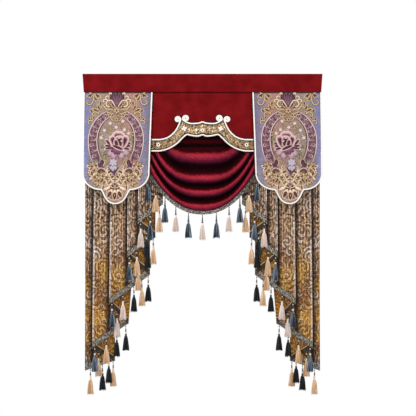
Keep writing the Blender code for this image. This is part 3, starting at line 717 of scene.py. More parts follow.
def stitchPetal(base, direction, length, width, height, blunt=0.6, bend=0.0, hollow=False):
    # crowned petal: its half width is a sine of the way along raised to blunt; a hollow one
    # has a bright outline round a dark middle
    t = np.linspace(0.0, 1.0, 9)[:, None]
    u = np.linspace(-1.0, 1.0, 7)
    half = width / 2 * np.sin(math.pi * np.clip(0.04 + 0.93 * t ** 0.8, 0, 1)) ** blunt
    turn = direction + bend * (t - 0.3)
    steps = np.column_stack((np.cos(turn), np.sin(turn)))[:-1] * length / 8
    line = base + np.vstack(((0.0, 0.0), np.cumsum(steps, axis=0)))
    normal = np.column_stack((-np.sin(turn), np.cos(turn)))
    flat = line[:, None] + normal[:, None] * (u[None] * half)[..., None]
    lift = height * (1 - u ** 2) * np.sin(math.pi * np.clip(0.08 + 0.8 * t, 0, 1)) + 0.3
    rim = np.maximum(np.abs(u), t ** 2 * 0.9)
    if hollow:
        rim = 1.0 - smoothStep(rim, 0.4, 0.8)
    return flat, lift, rim, grid(length * t, u * width / 2)


def curlPath(centre, radius, start, turn, tighten=0.35, lead=()):
    # spiral closing on its middle, after a lead-in line
    t = np.linspace(0.0, 1.0, 22)
    angle = start + turn * t
    size = radius * (1.0 - (1.0 - tighten) * t)
    return [*lead, *(centre + size[:, None] * np.column_stack((np.cos(angle), np.sin(angle))))]


class Embroidery:
    # shapes gathered by thread colour, each with its height above the cloth; petals and cords
    # come with their mirror images
    def __init__(self):
        self.groups = {}

    def add(self, colour, level, shape, both=True):
        group = self.groups.setdefault(colour, [])
        group.append((level, *shape))
        if both:
            flat, lift, rim, uv = (part[:, ::-1] for part in shape)
            group.append((level, flat * flip, lift, rim, uv))

    def petal(self, colour, level, *shape, both=False):
        self.add(colour, level, stitchPetal(*shape), both)

    def petals(self, colour, level, *shape):
        self.add(colour, level, stitchPetal(*shape))

    def cord(self, colour, level, *shape):
        self.add(colour, level, stitchRibbon(*shape), False)

    def cords(self, colour, level, *shape):
        self.add(colour, level, stitchRibbon(*shape))

    def lay(self, node, place, materials, turned=False):
        # place turns x, z and the height above the cloth into points
        for colour, shapes in sorted(self.groups.items()):
            meshes = []
            for level, flat, lift, _, _ in shapes:
                places = (flat[..., 0], flat[..., 1], needleLook["seat"] + level + lift)
                points = place(*(part * millimetre for part in places))
                meshes.append((points.reshape(-1, 3), gridFaces(*points.shape[:2])))
            points, faces = joinMeshes(meshes)
            rim = np.concatenate([shape[3].ravel() for shape in shapes])
            uv = millimetre * np.concatenate([shape[4].reshape(-1, 2) for shape in shapes])
            addPiece(f"{node}_{colour}", node, f"embroidery_{threadSlots.get(colour, colour)}", points,
                     materials[colour], faces=faces, uv=uv, fields={"rim": rim}, turned=turned)


def ringPoint(degrees, inset):
    # place on the medallion's oval by the angle from its top and an inset towards its middle
    angle = np.radians(degrees)
    wide, above, below = (outer + (inner - outer) * inset / needleLook["ringWide"]
                          for outer, inner in zip(needleLook["ringOuter"], needleLook["ringInner"]))
    high = np.where(np.cos(angle) > 0, above, below)
    return grid(wide * np.sin(angle), needleLook["ringZ"] + high * np.cos(angle))


def ringPath(fromAngle, toAngle, inset, count=40):
    return ringPoint(np.linspace(fromAngle, toAngle, count), inset)


def ringFill():
    # the crescent between the two borders, as a low pad with a slanting lower end
    look = needleLook
    t = np.linspace(0.0, 1.0, 60)[:, None]
    taper = np.clip(np.minimum(t, 1 - t) / 0.1, 0.0, 1.0) ** 0.7
    middle = look["ringWide"] / 2
    across = np.linspace(1.0, -1.0, 9)
    reach = look["ringTo"] - look["ringFrom"] + look["ringSlant"] * (across + 1) / 2
    flat = ringPoint(look["ringFrom"] + reach * t, middle + across * middle * (0.35 + 0.65 * taper))
    lift = 0.7 * (1 - across ** 4) + 0 * t
    return flat, lift, np.abs(across) * 0.8 + 0 * lift, grid(460 * t, across * middle)


def drawMedallion(work):
    work.add("mauve", 0, ringFill())
    low, high, wide = (needleLook[label] for label in ("ringFrom", "ringTo", "ringWide"))
    work.cords("border", 0, ringPath(low - 6, high + 3, -2), 8.4, 2.2, 60)
    work.cords("border", 0, ringPath(low - 6, high + 13, wide + 1), 7.6, 2, 60)
    work.cords("wine", 0, ringPath(low + 6, high + 10, wide + 8.5), 4.2, 1, 60)
    # curls, commas and dots along the ring
    for index, at in enumerate(np.linspace(low + 7, high - 6, 11)):
        heading = math.radians(at)
        outwards = np.array((math.sin(heading), math.cos(heading)))
        place = ringPoint(at, wide / 2)
        turn = 1 if index % 2 else -1
        for offset, size in ((9.5, 11.5), (-10.5, 9.5)):
            work.cords("border" if (index + (offset > 0)) % 2 else "pink", 0.9,
                    curlPath(place + offset * outwards, size, heading, turn * 5.2), 4.8, 1.3, 18)
        side = ringPoint(at + 5.6, wide / 2)
        work.petals("pink", 0.9, side, -heading, 17, 9, 1.2, 0.6, 0, True)
        work.petals("wine", 0.9, side - 12 * outwards, 1.57 - heading, 12, 8, 1.2)


# one row for each cupped petal of the peony: foot, heading in degrees, length, width, level;
# the first ones lie lowest
peonyLook = (((-33, -447), 129, 52, 25, 0.6), ((-28, -454), 173, 46, 24, 0.8), ((-16, -462), 188, 58, 23, 1),
        ((60, -447), 28, 44, 23, 0.6), ((54, -456), 10, 46, 24, 0.8), ((48, -464), 348, 46, 22, 1),
        ((16, -462), 90, 106, 102, 1.4), ((8, -460), 118, 84, 56, 2.6), ((30, -460), 62, 84, 56, 2.8),
        ((20, -458), 90, 72, 70, 4.2), ((10, -454), 106, 48, 36, 6), ((-16, -450), 338, 78, 30, 6.4))


def drawPeony(work):
    # cupped petals: pale rims round wine hollows, purple ones under them, a pale heart
    for turn in (3.75, 4.36, 5.06, 5.67):
        work.petal("plum", 3, (10, -462), turn, 46, 30, 1.6, 0.6)
    for turn, base in ((3.85, (-14, -478)), (4.42, (-4, -486)), (5.05, (28, -486)), (5.65, (44, -476))):
        work.petal("petal", 1.6, base, turn, 48, 46, 1.8, 0.45)
    for index, (base, heading, length, width, level) in enumerate(peonyLook):
        work.petal("rose", level, base, math.radians(heading), length, width, 2.6, 0.42, 0.3 * math.sin(index), True)
    for base, heading in (((12, -404), 0.2), ((30, -416), 5.5)):
        work.petal("pale", 7.2, base, heading, 20, 10, 1.8, 0.7)
    # leaves, sprigs, buds and a small pale flower round it
    for place, turn, size in (((-46, -482), 3.8, 44), ((-52, -500), 4.6, 36), ((-30, -505), 5.1, 30),
            ((62, -470), 5.6, 44), ((66, -492), 5.0, 34), ((-62, -452), 3.4, 32), ((86, -424), 0.5, 32),
            ((84, -432), 5.9, 34), ((96, -412), 1.3, 22)):
        work.petal("green", 0.6, place, turn, size, 20, 1.4, 0.8, 0.5)
    for path in (((75, -412), (98, -396), (104, -368)), ((-62, -420), (-86, -402), (-94, -372)),
            ((-26, -530), (-60, -525), (-80, -505)), ((30, -530), (62, -524), (80, -508)),
            ((20, -345), (50, -335), (75, -352)), ((-15, -350), (-45, -336), (-66, -318))):
        # two leaves at each of four places, smaller and smaller along the sprig
        line = smoothPath(path, 4)
        for number, (base, way) in enumerate(zip(line, np.gradient(line, axis=0))):
            for lean in (-0.8, 0.8):
                work.petal("gold", 0.4, base, math.atan2(way[1], way[0]) + lean, 20 - 8 * number / 3, 9.5, 1.2, 0.9,
                        -0.5 * lean)
    for place in ((-37.7, -310), (40, -296), (-72.6, -353.5), (51, -350), (0, -335), (-92, -400), (78, -372)):
        for turn in around(5):
            work.petal("pale", 0.6, place, turn + 0.04 * place[0], 14, 11, 1.4, 0.6)
    for path in (((0, -385), (-12, -350), (-42, -316)), ((16, -382), (34, -340), (42, -300)),
            ((-22, -388), (-50, -372), (-76, -352)), ((-12, -470), (-6, -510), (-12, -545))):
        work.cord("green", 0.3, path, 4, 1.2, 16)
    for turn in around(6, 0.4):
        work.petal("lilac", 1, (-13, -553), turn, 31, 24, 1.8, 0.5)
    work.petal("pale", 3, (-13, -560), 1.57, 14, 12, 2.2)
    for turn in (4.1, 4.7, 5.3):
        work.petal("lilac", 0.8, (-12 + 12 * math.cos(turn), -575), turn, 36, 20, 1.8, 0.7)
    # small blossoms and flecks scattered over the middle
    dice = np.random.default_rng(11)
    for place in dice.uniform((-98, -345), (92, -262), (26, 2)) + (0, -45):
        if abs(place[0]) / 105 + abs(place[1] + 400) / 160 < 1.0:
            work.petal(("gold", "pale", "green")[int(place[0] * 4) % 3], 0.4, place, 0.09 * place[0], 13, 7, 1.2, 0.8)
    for place, turn in (((-12, -618), 2.3), ((-8, -618), 0.9), ((-4, -640), 1.57)):
        work.petal("purple", 1.4, place, turn, 44, 14, 1.8, 0.9)
        work.petal("lilac", 1, (place[0], place[1] + 12), turn, 36, 12, 1.6, 0.8)


def drawCrest(work):
    # above the medallion: a purple heart between curls, a gold knot and corner scrolls
    for lean in (-0.36, 0.36):
        work.petal("purple", 0.2, (0, -207), math.pi / 2 + lean, 100, 48, 1.4, 0.75, -1.5 * lean)
    work.petal("purple", 0.4, (0, -205), math.pi / 2, 90, 40, 1.6, 0.8)
    for turn in (-0.3, -0.1, 0.1, 0.3):
        work.cord("pink", 1.8, ((0, -196), (55 * math.sin(turn), -165), (75 * math.sin(turn), -128)), 2.2, 0.9, 12)
    for middle, size, start, turn, lead in (((47, -190), 26, 2.2, -6.2, ((4, -222), (12, -200))),
            ((57, -149), 15, 5.4, 5.0, ((40, -172),)), ((44, -128), 10, 3.4, -4.6, ()),
            ((78, -170), 11, 2.4, -4.8, ())):
        work.cords("cream", 1.2, curlPath(middle, size, start, turn, 0.35, lead), 9.2, 2.2, 34)
    for place, turn, size in (((47, -190), 0.6, 18), ((47, -190), 2.6, 18), ((47, -190), 4.4, 18),
            ((30, -212), 0.3, 30), ((34, -214), 1.3, 26), ((66, -210), 1.0, 28), ((76, -200), 0.2, 24)):
        work.petals("gold", 0.8, place, turn, size, 0.62 * size, 1.6, 0.8, 0.2, True)
    for path in (((4, -232), (28, -226), (50, -222), (72, -214), (88, -198)),
            ((4, -242), (28, -250), (36, -272), (22, -292), (4, -296)), ((30, -250), (50, -243), (66, -238))):
        work.cords("gold", 1.4, path, 10, 2.4, 24)
    for turn in around(6):
        work.petal("gold", 2.6, (0, -230), turn + 0.5, 26, 20, 2.4, 0.6)
        work.petal("gold", 2.2, (0, -287), turn + 0.5, 19, 15, 2.2, 0.6)
    work.petal("purple", 5.2, (0, -237), math.pi / 2, 14, 11, 2, 0.8)
    work.petal("purple", 4.8, (0, -293), math.pi / 2, 12, 9, 2, 0.8)
    work.petals("gold", 1.4, (20, -259), 0, 34, 26, 1.8, 0.9, 0, True)
    # curls that follow the outside of the ring
    for middle, size, start, turn, lead in (((86, -212), 15, 3.3, -5.4, ((52, -232), (66, -222))),
            ((136, -258), 23, 2.9, -5.6, ((92, -236), (108, -236))), ((164, -306), 16, 2.6, -5.4,
            ((140, -290), (148, -290)))):
        work.cords("gold", 1, curlPath(middle, size, start, turn, 0.28, lead), 10.4, 2.4, 34)
    work.cords("gold", 1, ((140, -122), (147, -143), (148, -168), (157, -188), (173, -194), (187, -183), (185, -167),
            (174, -169)), 10.4, 2.4, 40, (0.7, 0.5))
    for place, turn, size in (((138, -130), 3.5, 34), ((154, -126), 5.8, 34), ((132, -124), 4.2, 30),
            ((160, -122), 5.0, 26), ((142, -150), 3.9, 24), ((104, -222), 1.0, 28), ((118, -232), 0.4, 30),
            ((150, -240), 0.9, 22), ((162, -290), 0.9, 16), ((100, -196), 1.6, 24), ((140, -264), 4.9, 18)):
        work.petals("gold", 1, place, turn, 1.2 * size, 20.5, 1.8, 0.8, 0.4, True)
        work.petals("gold", 0.6, place, turn + 0.9, 0.8 * size, 13, 1.6, 0.8, 0.3)


# middles of the leaf clusters under the medallion and the directions of their leaves
leafClusters = (((140, -580), (0.1, 0.9, 1.7, 2.6, 3.6, 4.5, 5.4)), ((138, -638), (0.4, 1.3, 2.3, 3.4, 4.4, 5.4)),
        ((112, -606), (1.0, 2.4, 3.8, 5.0)), ((104, -672), (0.3, 1.4, 2.6, 3.8, 5.0, 5.9)),
        ((74, -650), (0.4, 1.6, 2.8, 4.0, 5.2)), ((46, -620), (0.2, 1.4, 2.6, 4.2, 5.4)),
        ((72, -694), (0.8, 2.0, 3.4, 4.8)), ((30, -656), (1.0, 2.4, 3.9, 5.3)), ((36, -700), (0.5, 2.4, 4.0)))


def drawFoot(work):
    # below the medallion: purple tufts, leaf clusters, scrolls that meet and a fan of petals
    work.petals("purple", 1.2, (93, -592), 1.85, 58, 30, 2, 0.6, -0.8)
    work.petals("purple", 0.6, (95, -590), 1.25, 36, 20, 1.8, 0.7, -0.4)
    work.petals("purple", 0.6, (110, -616), 2.9, 36, 13, 1.6, 0.8, 0.8)
    work.cords("cream", 1, ((84, -588), (71, -568), (66, -548), (76, -538)), 5.6, 2, 20)
    for number, (middle, turns) in enumerate(leafClusters):
        for index, turn in enumerate(turns):
            work.petals("gold" if (index + number) % 3 else "cream", 0.6 + 0.2 * index, middle, turn, 37, 21, 1.8,
                    0.72, 0.5, (index + 2 * number) % 3 == 0)
    for place, turn in (((144, -577), 0.2), ((118, -573), 0.8), ((130, -601), -0.45), ((125, -644), -0.15),
            ((102, -664), -1.5), ((66, -676), -0.9), ((50, -646), 0.5)):
        way = np.array((math.cos(turn), math.sin(turn)))
        work.petals("cream", 2.6, place - 17 * way, turn, 34, 21.5, 1.8, 0.6)
        work.petals("wine", 4.2, place - 10 * way, turn, 21, 10, 1.6, 0.7)
    for lift, width in ((0, 24), (0.6, 15)):
        work.petals("wine" if lift else "almond", 3.2 + lift, (62, -612 + lift), 0.3, 48, width, 2, 0.6, -0.9)
    work.cords("border", 3.4, ((54, -618), (66, -598), (84, -588), (102, -594), (112, -610)), 6.4, 2.2, 26,
            (0.5, 0.5))
    for middle, size, start, turn in (((124, -604), 14, 0, 5.0), ((122, -654), 15, 1.8, -5.2),
            ((66, -622), 14, 3.9, 5.0), ((84, -676), 14, 0.6, -5.0), ((162, -612), 12, 2.0, 4.8),
            ((60, -552), 14, 0.4, 5.2), ((44, -586), 11, 2.4, -5.0), ((26, -628), 12, 5.0, 5.0),
            ((52, -672), 12, 4.4, 5.0), ((34, -734), 10, 4.4, 5.0)):
        work.cords("gold" if size > 12.5 else "cream", 2, curlPath(middle, size, start, turn), 6.6, 2.1, 22)
    for path, wide in ((((66, -590), (50, -614), (33, -638), (18, -664), (2, -686)), 7.8),
            (((58, -660), (44, -690), (20, -706), (2, -712)), 7.4), (((62, -712), (50, -726), (52, -750), (34, -776),
            (4, -788)), 6)):
        work.cords("cream", 1.8, path, wide, 2.4, 34, (0.6, 0.6))
    for turn in np.arange(4) * math.pi / 2:
        work.petal("cream", 2, (0, -660), turn, 21, 16, 2, 1.0, 0, True)
        work.petal("pink", 1.2, (0, -628), turn + 0.785, 14, 11, 1.6, 0.7)
    for turn in np.linspace(-1.5, 1.5, 9):
        work.petal("cream", 0.6, (0, -724), -math.pi / 2 + turn, 56 if abs(turn) < 1.4 else 44, 24, 1.8, 0.7)
    for turn, size in ((-1.12, 0.7), (-0.49, 1.0), (0, 1.08), (0.49, 1.0), (1.12, 0.7)):
        way = np.array((math.sin(turn), -math.cos(turn)))
        work.petal("peach", 2.4, (0, -690) + 34 * way, -math.pi / 2 + turn, 70 * size, 37 * size, 2.2, 0.6)
        if size > 0.9:
            work.petal("wine", 4.6, (0, -690) + 49 * way, -math.pi / 2 + turn, 41 * size, 20 * size, 1.8, 0.6)
    work.petal("almond", 6.4, (0, -750), -math.pi / 2, 18, 8.5, 1.2, 0.7)
    for a, z in ((0, -687), (13, -700), (-13, -700), (10, -718), (-10, -718)):
        work.petal("wine", 5, (a, z + 6), -math.pi / 2, 13, 10, 1.6, 0.7)
    for turn in (-0.62, 0.62):
        work.cord("gold", 3.4, curlPath((60 * turn / 0.6, -742), 7.5, 1.0, 5.0), 3.4, 1.4, 14)


def buildEmbroidery(label, side, materials):
    work = Embroidery()
    for draw in (drawMedallion, drawCrest, drawPeony, drawFoot):
        draw(work)
    axis = millimetre * needleLook["axis"]
    work.lay(f"flag_{label}", lambda a, z, lift: flagPoint(a + axis, z, lift, side), materials, side < 0)


# rosettes on the gold band: x, z and whether it is a full star, left half with the middle one
rosettes = ((-273.7, -443, False), (-113.2, -342, True), (0, -352, False))


def buildBandRelief(materials):
    # small rosettes and a running scroll, raised on the band
    work = Embroidery()
    for x, z, full in rosettes:
        count, start, length, width = (4, 0, 19, 16) if full else (6, 3.5, 11.2, 10)
        for turn in around(count, 0.3):
            foot = (x + start * math.cos(turn), z + start * math.sin(turn))
            work.petal("cream", 1.2, foot, turn, length, width, 2.2, 0.6, both=x < 0)
            if full:
                work.petal("pink", 0.6, (x, z), turn + 0.7, 20, 9, 1.6, 0.8, both=x < 0)
        work.petal("cream" if full else "wine", 2.6, (x, z - 4), math.pi / 2, 8, 8, 2.4, 0.5, both=x < 0)
    line = bandLines(200)[:101] / millimetre
    middle = (line[:, :2] + line[:, 2:]) / 2
    along = runLength(middle)
    for index, at in enumerate(np.arange(along[-1] - 22, along[-1] - 470, -34)):
        place, later = (readAt(where, along, middle) for where in (at, at + 4))
        ahead = later - place
        heading = math.atan2(ahead[1], ahead[0])
        turn = 1 if index % 2 else -1
        aside = np.array((-math.sin(heading), math.cos(heading))) * 11 * turn
        work.cords("gold", 0.4, curlPath(place + aside, 12.5, heading, turn * 5.4), 5, 1.8, 22)
        for lean in (-2.4, -0.8, 0.8, 2.4):
            work.petals("gold", 0.2, place - 1.3 * aside, heading + lean, 15, 8, 1.6, 0.9, 0.4 * turn, True)
    work.lay("scroll_band", lambda a, z, lift: grid(a, panelY(z) - clothThick - clothGap - 0.0006 - lift, z),
            materials)


swagLook = {"halfWidth": 0.352, "topZ": -0.33, "hollowDrop": 0.036, "firstHollow": (-0.442, 0.004),
            "sideForward": 0.16, "seat": 0.0005, "behind": 0.0042, "emerge": (0.03, 0.06),
            "braid": 0.02, "hemGap": 0.0009, "columns": 170, "between": 8, "crease": 0.0014,
            "flat": (0.72, 0.74), "area": 0.42}
# crests: x and z where each goes under, z in the middle, power of the curve, forward sweep
swagCrests = ((0.195, -0.477, -0.518, 4.0, 0.042), (0.279, -0.502, -0.654, 3.2, 0.054),
              (0.307, -0.527, -0.741, 2.8, 0.062), (0.318, -0.5825, -0.828, 2.5, 0.068),
              (0.324, -0.655, -0.876, 2.2, 0.052))


def crestZ(x, crest):
    # a power curve of x, going on straight beyond the place where the crest goes under
    edgeX, edgeZ, middleZ, power, _ = crest
    drop = edgeZ - middleZ
    reach = np.minimum(np.abs(x) / edgeX, 1.0)
    return edgeZ + drop * (reach ** power - 1.0) + drop * power / edgeX * np.maximum(np.abs(x) - edgeX, 0.0)


def swagRows(x):
    # height, forward sweep and phase of each guide row: whole numbers are crests, halves hollows
    lines = [crestZ(x, crest) for crest in swagCrests]
    sweeps = [crest[4] for crest in swagCrests]
    low, lowSweep = swagLook["firstHollow"]
    first = lines[0] + (low - swagCrests[0][2])
    rows = [(np.maximum(first + 0.07, swagLook["topZ"]), 0.0, 0.0), (first, lowSweep, 0.5)]
    for index in range(4):
        line, sweep = lines[index], sweeps[index]
        before, sweepBefore, _ = rows[-1]
        rows.append(((before + line) / 2, 0.72 * sweep + 0.28 * sweepBefore, index + 0.75))
        rows.append((line, sweep, index + 1.0))
        if index < 3:
            hollow = (line + lines[index + 1]) / 2
            rows.append((0.55 * line + 0.45 * hollow, sweep - 0.35 * swagLook["hollowDrop"], index + 1.225))
            rows.append((hollow, sweep - swagLook["hollowDrop"], index + 1.5))
    return [*rows, (lines[4], sweeps[4], 4.3)]


def swagY(x, z, forward):
    # out of the band's lower edge to the front, less towards both sides
    look = swagLook
    flat = np.maximum(panelY(z), panelY(-0.48)) + clothThick + look["behind"]
    emerge = smoothStep(bandLowerZ(x) - z - look["emerge"][0], 0.0, look["emerge"][1])
    roundOff = 1.0 - (np.abs(x) / look["halfWidth"]) ** 2.2
    return flat - forward * emerge * (look["sideForward"] + (1.0 - look["sideForward"]) * roundOff)


def swagEdge(x, standingIn):
    # the hem, shifted at right angles into the cloth
    hem = swagCrests[-1]
    z = crestZ(x, hem)
    slope = (crestZ(x + 0.001, hem) - crestZ(x - 0.001, hem)) / 0.002
    return grid(x, swagY(x, z, hem[4]), z) + unit(grid(-slope, 0.0, 1.0)) * standingIn


def buildSwag(material):
    look = swagLook
    x = np.linspace(-look["halfWidth"], look["halfWidth"], look["columns"])
    guides = np.array([grid(x, swagY(x, z, forward), z, phase) for z, forward, phase in swagRows(x)])
    guides[0, :, 1] = panelY(guides[0, :, 2]) + clothThick + look["seat"]
    guides[-1, :, :3] = swagEdge(x, look["braid"] + look["hemGap"])
    fine = curveThrough(guides, look["between"])
    # small slack creases along the folds
    across = np.linspace(0.0, 1.0, len(fine))[:, None]
    crease = np.sin(19.0 * fine[..., 0] + 23.0 * across) * np.sin(31.0 * across + 7.0 * fine[..., 0])
    free = look["crease"] * smoothStep(bandLowerZ(x) - fine[..., 2], 0.03, 0.09)
    fine[8:-8, :, 1] -= (crease * free)[8:-8]
    piece = addCloth("swag_cloth", "swag", "wine_velvet", fine[..., :3], material, uv=grid(fine[..., 0], -across),
                     fields={"phase": np.clip(fine[..., 3], 0.0, 4.3)}, turned=True)


# folds of the left tail, alternately left and right: x under the flag, x and z at the hem
tailFolds = np.array(((-0.731, -0.741, -1.848), (-0.547, -0.547, -1.79), (-0.671, -0.685, -1.706),
                      (-0.34, -0.48, -1.554), (-0.57, -0.579, -1.432), (-0.327, -0.327, -1.249),
                      (-0.465, -0.465, -1.139), (-0.293, -0.293, -1.017), (-0.4, -0.399, -0.936),
                      (-0.242, -0.242, -0.812)))
tailLast = len(tailFolds) - 1
tailLook = {"backY": 0.0145, "closedZ": -0.35, "openZ": -1.65, "radius": (0.0016, 0.0095),
            "step": (0.0041, 0.025), "run": (0.006, 0.034), "foldShare": 0.05, "braid": 0.036,
            "hemGap": 0.0009, "rows": 120, "ripple": 0.0018, "foldUse": 0.022,
            "flatHeight": 1.85}


def foldX(number, z):
    # x of a fold at height z, from its place under the flag to its place at the hem
    return tailFolds[number, 0] + (tailFolds[number, 1] - tailFolds[number, 0]) * np.clip(-z / 1.8, 0.0, 1.0)


def tailPoint(q, z):
    # plan place of pleat station q at height z: whole numbers are folds, even ones on the
    # left, odd ones on the right, and each pleat lies before the one it came from
    look = tailLook
    q, z = np.broadcast_arrays(np.asarray(q, dtype=float), np.asarray(z, dtype=float))
    opening = smoothStep(-z, -look["closedZ"], -look["openZ"])
    radius, step, run = (low + (high - low) * opening for low, high in (look["radius"], look["step"], look["run"]))

    def foldCentre(number):
        right = number % 2
        y = look["backY"] - run + radius - (number // 2) * step + right * (run - 2 * radius)
        return foldX(number, z) + np.where(right == 1, -radius, radius), y

    number = np.minimum(q.astype(int), tailLast - 1)
    share = q - number
    hereX, hereY = foldCentre(number)
    nextX, nextY = foldCentre(number + 1)
    turn = np.where(number % 2 == 1, radius, -radius)
    fold = look["foldShare"]
    start = np.where(number > 0, fold, 0.0)
    stop = np.where(number < tailLast - 1, 1.0 - fold, 1.0)
    along = np.clip((share - start) / (stop - start), 0.0, 1.0)
    out, back = (math.pi / 2 * np.clip(part / fold, 0.0, 1.0) for part in (share, 1.0 - share))
    places = ((hereX + turn * np.cos(out), hereY - radius * np.sin(out)),
              (nextX - turn * np.cos(back), nextY + radius * np.sin(back)),
              (hereX + (nextX - hereX) * along, hereY - radius + (nextY - hereY + 2 * radius) * along))
    leaving = (number > 0) & (share < fold)
    arriving = (number < tailLast - 1) & (share > 1.0 - fold)
    return [np.where(leaving, first, np.where(arriving, last, flat)) for first, last, flat in zip(*places)]


def tailHemZ(q):
    return np.interp(q, np.arange(tailLast + 1), tailFolds[:, 2])


def tailStations():
    # fine stations over the folds and even ones over each pleat's flat run
    fold = tailLook["foldShare"]
    stations = []
    for pleat in range(tailLast):
        first = pleat + (fold if pleat > 0 else 0.0)
        last = pleat + 1 - (fold if pleat < tailLast - 1 else 0.0)
        width = abs(tailFolds[pleat + 1, 1] - tailFolds[pleat, 1])
        stations.append(np.linspace(first, last, max(int(width / 0.008), 8)))
        if pleat < tailLast - 1:
            stations.append(np.linspace(pleat + 1 - fold, pleat + 1 + fold, 11)[1:-1])
    return np.concatenate(stations)


def buildTail(label, side, materials):
    look = tailLook
    q = tailStations()
    top = panelLook["topZ"]
    z = top + (tailHemZ(q) + look["braid"] + look["hemGap"] - top) * np.linspace(0.0, 1.0, look["rows"])[:, None]
    x, y = tailPoint(q, z)
    # cloth used up to each fold, in metres
    used = np.concatenate(([0.0], np.cumsum(np.abs(np.diff(tailFolds[:, 1])) + look["foldUse"])))
    run = np.interp(q, np.arange(tailLast + 1), used)
    # soft upright ripples that grow with the opening of the pleats
    room = np.sin(math.pi * np.clip((q % 1.0 - 0.06) / 0.88, 0.0, 1.0)) ** 0.7
    ripple = np.sin(run * math.tau / 0.062 + 1.3 * np.sin(3.1 * z)) + 0.4 * np.sin(run * math.tau / 0.027 + 2.0 * z)
    y = y - look["ripple"] * ripple * room * smoothStep(-z, 0.5, 1.3) * smoothStep(-z, 0.3, 0.6)
    number = np.minimum((q // 2).astype(int) * 2, tailLast - 1)
    fields = {"fromFold": x - foldX(number, z), "toNext": foldX(np.minimum(number + 2, tailLast), z) - x}
    piece = addCloth(f"tail_{label}_cloth", f"tail_{label}", "tail_brocade", grid(side * x, y, z), *materials,
                     uv=grid(run, z), fields=fields, turned=side > 0)
    area = float(np.sum(-(z[-1, 1:] + z[-1, :-1]) / 2 * np.diff(run)))


# cord profile as radius and z, beads as z, radius and flatness
tasselLook = {"length": 0.16, "rings": 0.068, "strands": 70, "strandSteps": 6, "wide": 0.0215, "deep": 0.0068,
              "beadSides": 8, "seed": 7, "goldenAngle": 2.399963, "strandRadius": 0.0014,
              "cord": ((0.0014, 0.001), (0.0013, -0.016), (0.0014, -0.034), (0.0013, -0.052)),
              "pale": ((-0.016, 0.0042, 0.8), (-0.0476, 0.0066, 1.0)),
              "dark": ((-0.0075, 0.004, 0.8), (-0.025, 0.0046, 1.0), (-0.0352, 0.0054, 1.0))}
# place along each pleat's hem and kind of the tail's tassels
tailTassels = (((0.18, "peach"), (0.58, "black"), (0.94, "peach")), ((0.26, "black"), (0.74, "peach")),
        ((0.08, "slate"), (0.4, "peach"), (0.68, "black"), (0.92, "black")), ((0.62, "cream"),),
        ((0.08, "slate"), (0.34, "cream"), (0.6, "black"), (0.79, "peach"), (0.94, "black")), ((0.52, "peach"),),
        ((0.08, "slate"), (0.34, "peach"), (0.72, "black"), (0.91, "peach")), ((0.5, "black"),),
        ((0.12, "cream"), (0.5, "slate"), (0.86, "peach")))
swagTassels = ("slate", "peach", "slate", "cream", "slate", "cream", "slate", "cream", "slate", "peach", "slate")
swagTasselGap = 0.0875
braidLook = {"columns": 17, "thick": 0.0009, "cord": 0.0011, "cordPlaces": (0.07, 0.93), "cordWide": 0.06,
             "loop": 0.0004, "loops": 3}
tasselSlots = {"cord": "braid", "pale": "bead_pale", "dark": "bead_dark", "yarn_black": "yarn_slate"}
front = np.array((0.0, -1.0, 0.0))


def latheMesh(profile, sides):
    # (radius, z) profile turned round Z, closed at both ends
    radius, z = np.asarray(profile).T[..., None]
    angle = around(sides)
    points, faces = tubeMesh(grid(radius * np.cos(angle), radius * np.sin(angle), z))
    return points, faces[:, ::-1] if z[0] > z[-1] else faces


def beadString(beads):
    turn = np.linspace(0.06, math.pi - 0.06, 7)
    return joinMeshes([latheMesh(grid(radius * np.sin(turn), z + radius * flat * np.cos(turn)),
            tasselLook["beadSides"]) for z, radius, flat in beads])


def tasselParts(seed):
    # cord, beads and yarn of one tassel hanging from the origin along -Z, its width along X and
    # its front towards -Y, and the tone of each point of the yarn, partly at random and partly painted light
    look = tasselLook
    dice = np.random.default_rng(seed)
    wrap = np.linspace(0.0, 1.0, 15)
    swell = 0.0062 + 0.0009 * np.cos(wrap * math.tau * 4.0) + 0.0018 * smoothStep(wrap, 0.8, 1.0)
    swell[0] = 0.003
    head = latheMesh(grid(swell, -0.052 - 0.018 * wrap), 12)
    fall = np.linspace(0.0, 1.0, 6)
    core, coreFaces = latheMesh(grid(0.0072 + 0.007 * fall ** 0.7, -0.068 - 0.084 * fall), 10)
    core = core * (1.15, 0.48, 1.0)
    count, steps = look["strands"], look["strandSteps"]
    angle = np.arange(count) * look["goldenAngle"] + dice.normal(0.0, 0.15, count)
    reach = 0.55 + 0.45 * np.sqrt((np.arange(count) + 0.5) / count)
    t = np.linspace(0.0, 1.0, steps)
    wave = 0.0009 * np.sin(t * 6.0 + dice.uniform(0, 6.28, count)[:, None]) * t
    x = (np.cos(angle) * reach)[:, None] * look["wide"] * (0.4 + 0.6 * t ** 0.62) + wave
    y = (np.sin(angle) * reach)[:, None] * look["deep"] * (0.55 + 0.45 * t) + 0.6 * wave
    length = look["length"] - dice.uniform(0.0, 0.011, count)[:, None]
    z = -look["rings"] - (length - look["rings"]) * t
    corner = np.array((0.0, 2.1, 4.2))
    around = grid(np.cos(corner), np.sin(corner), 0.0) * look["strandRadius"] * (1.0 - 0.35 * t)[:, None, None]
    strands = grid(x, y, z)[:, :, None] + around
    points = strands.reshape(-1, 3)
    faces = gridFaces(steps, 3, closed=True)[:, ::-1] + np.arange(count)[:, None, None] * steps * 3
    # a random tone for each strand, with painted light making one side of the tassel lighter
    tone = 0.66 * np.repeat(dice.uniform(0.0, 1.0, count), steps * 3) + 0.17 * (1.0 - points[:, 0] / look["wide"])
    # the head lighter on one side, painted light, and the core a dark tone
    tones = np.concatenate((0.5 + 28.0 * head[0][:, 0], np.full(len(core), 0.12), tone))
    return {"cord": latheMesh(look["cord"], 6), "pale": beadString(look["pale"]), "dark": beadString(look["dark"]),
            "yarn": joinMeshes((head, (core, coreFaces), (points, faces.reshape(-1, 4))))}, tones


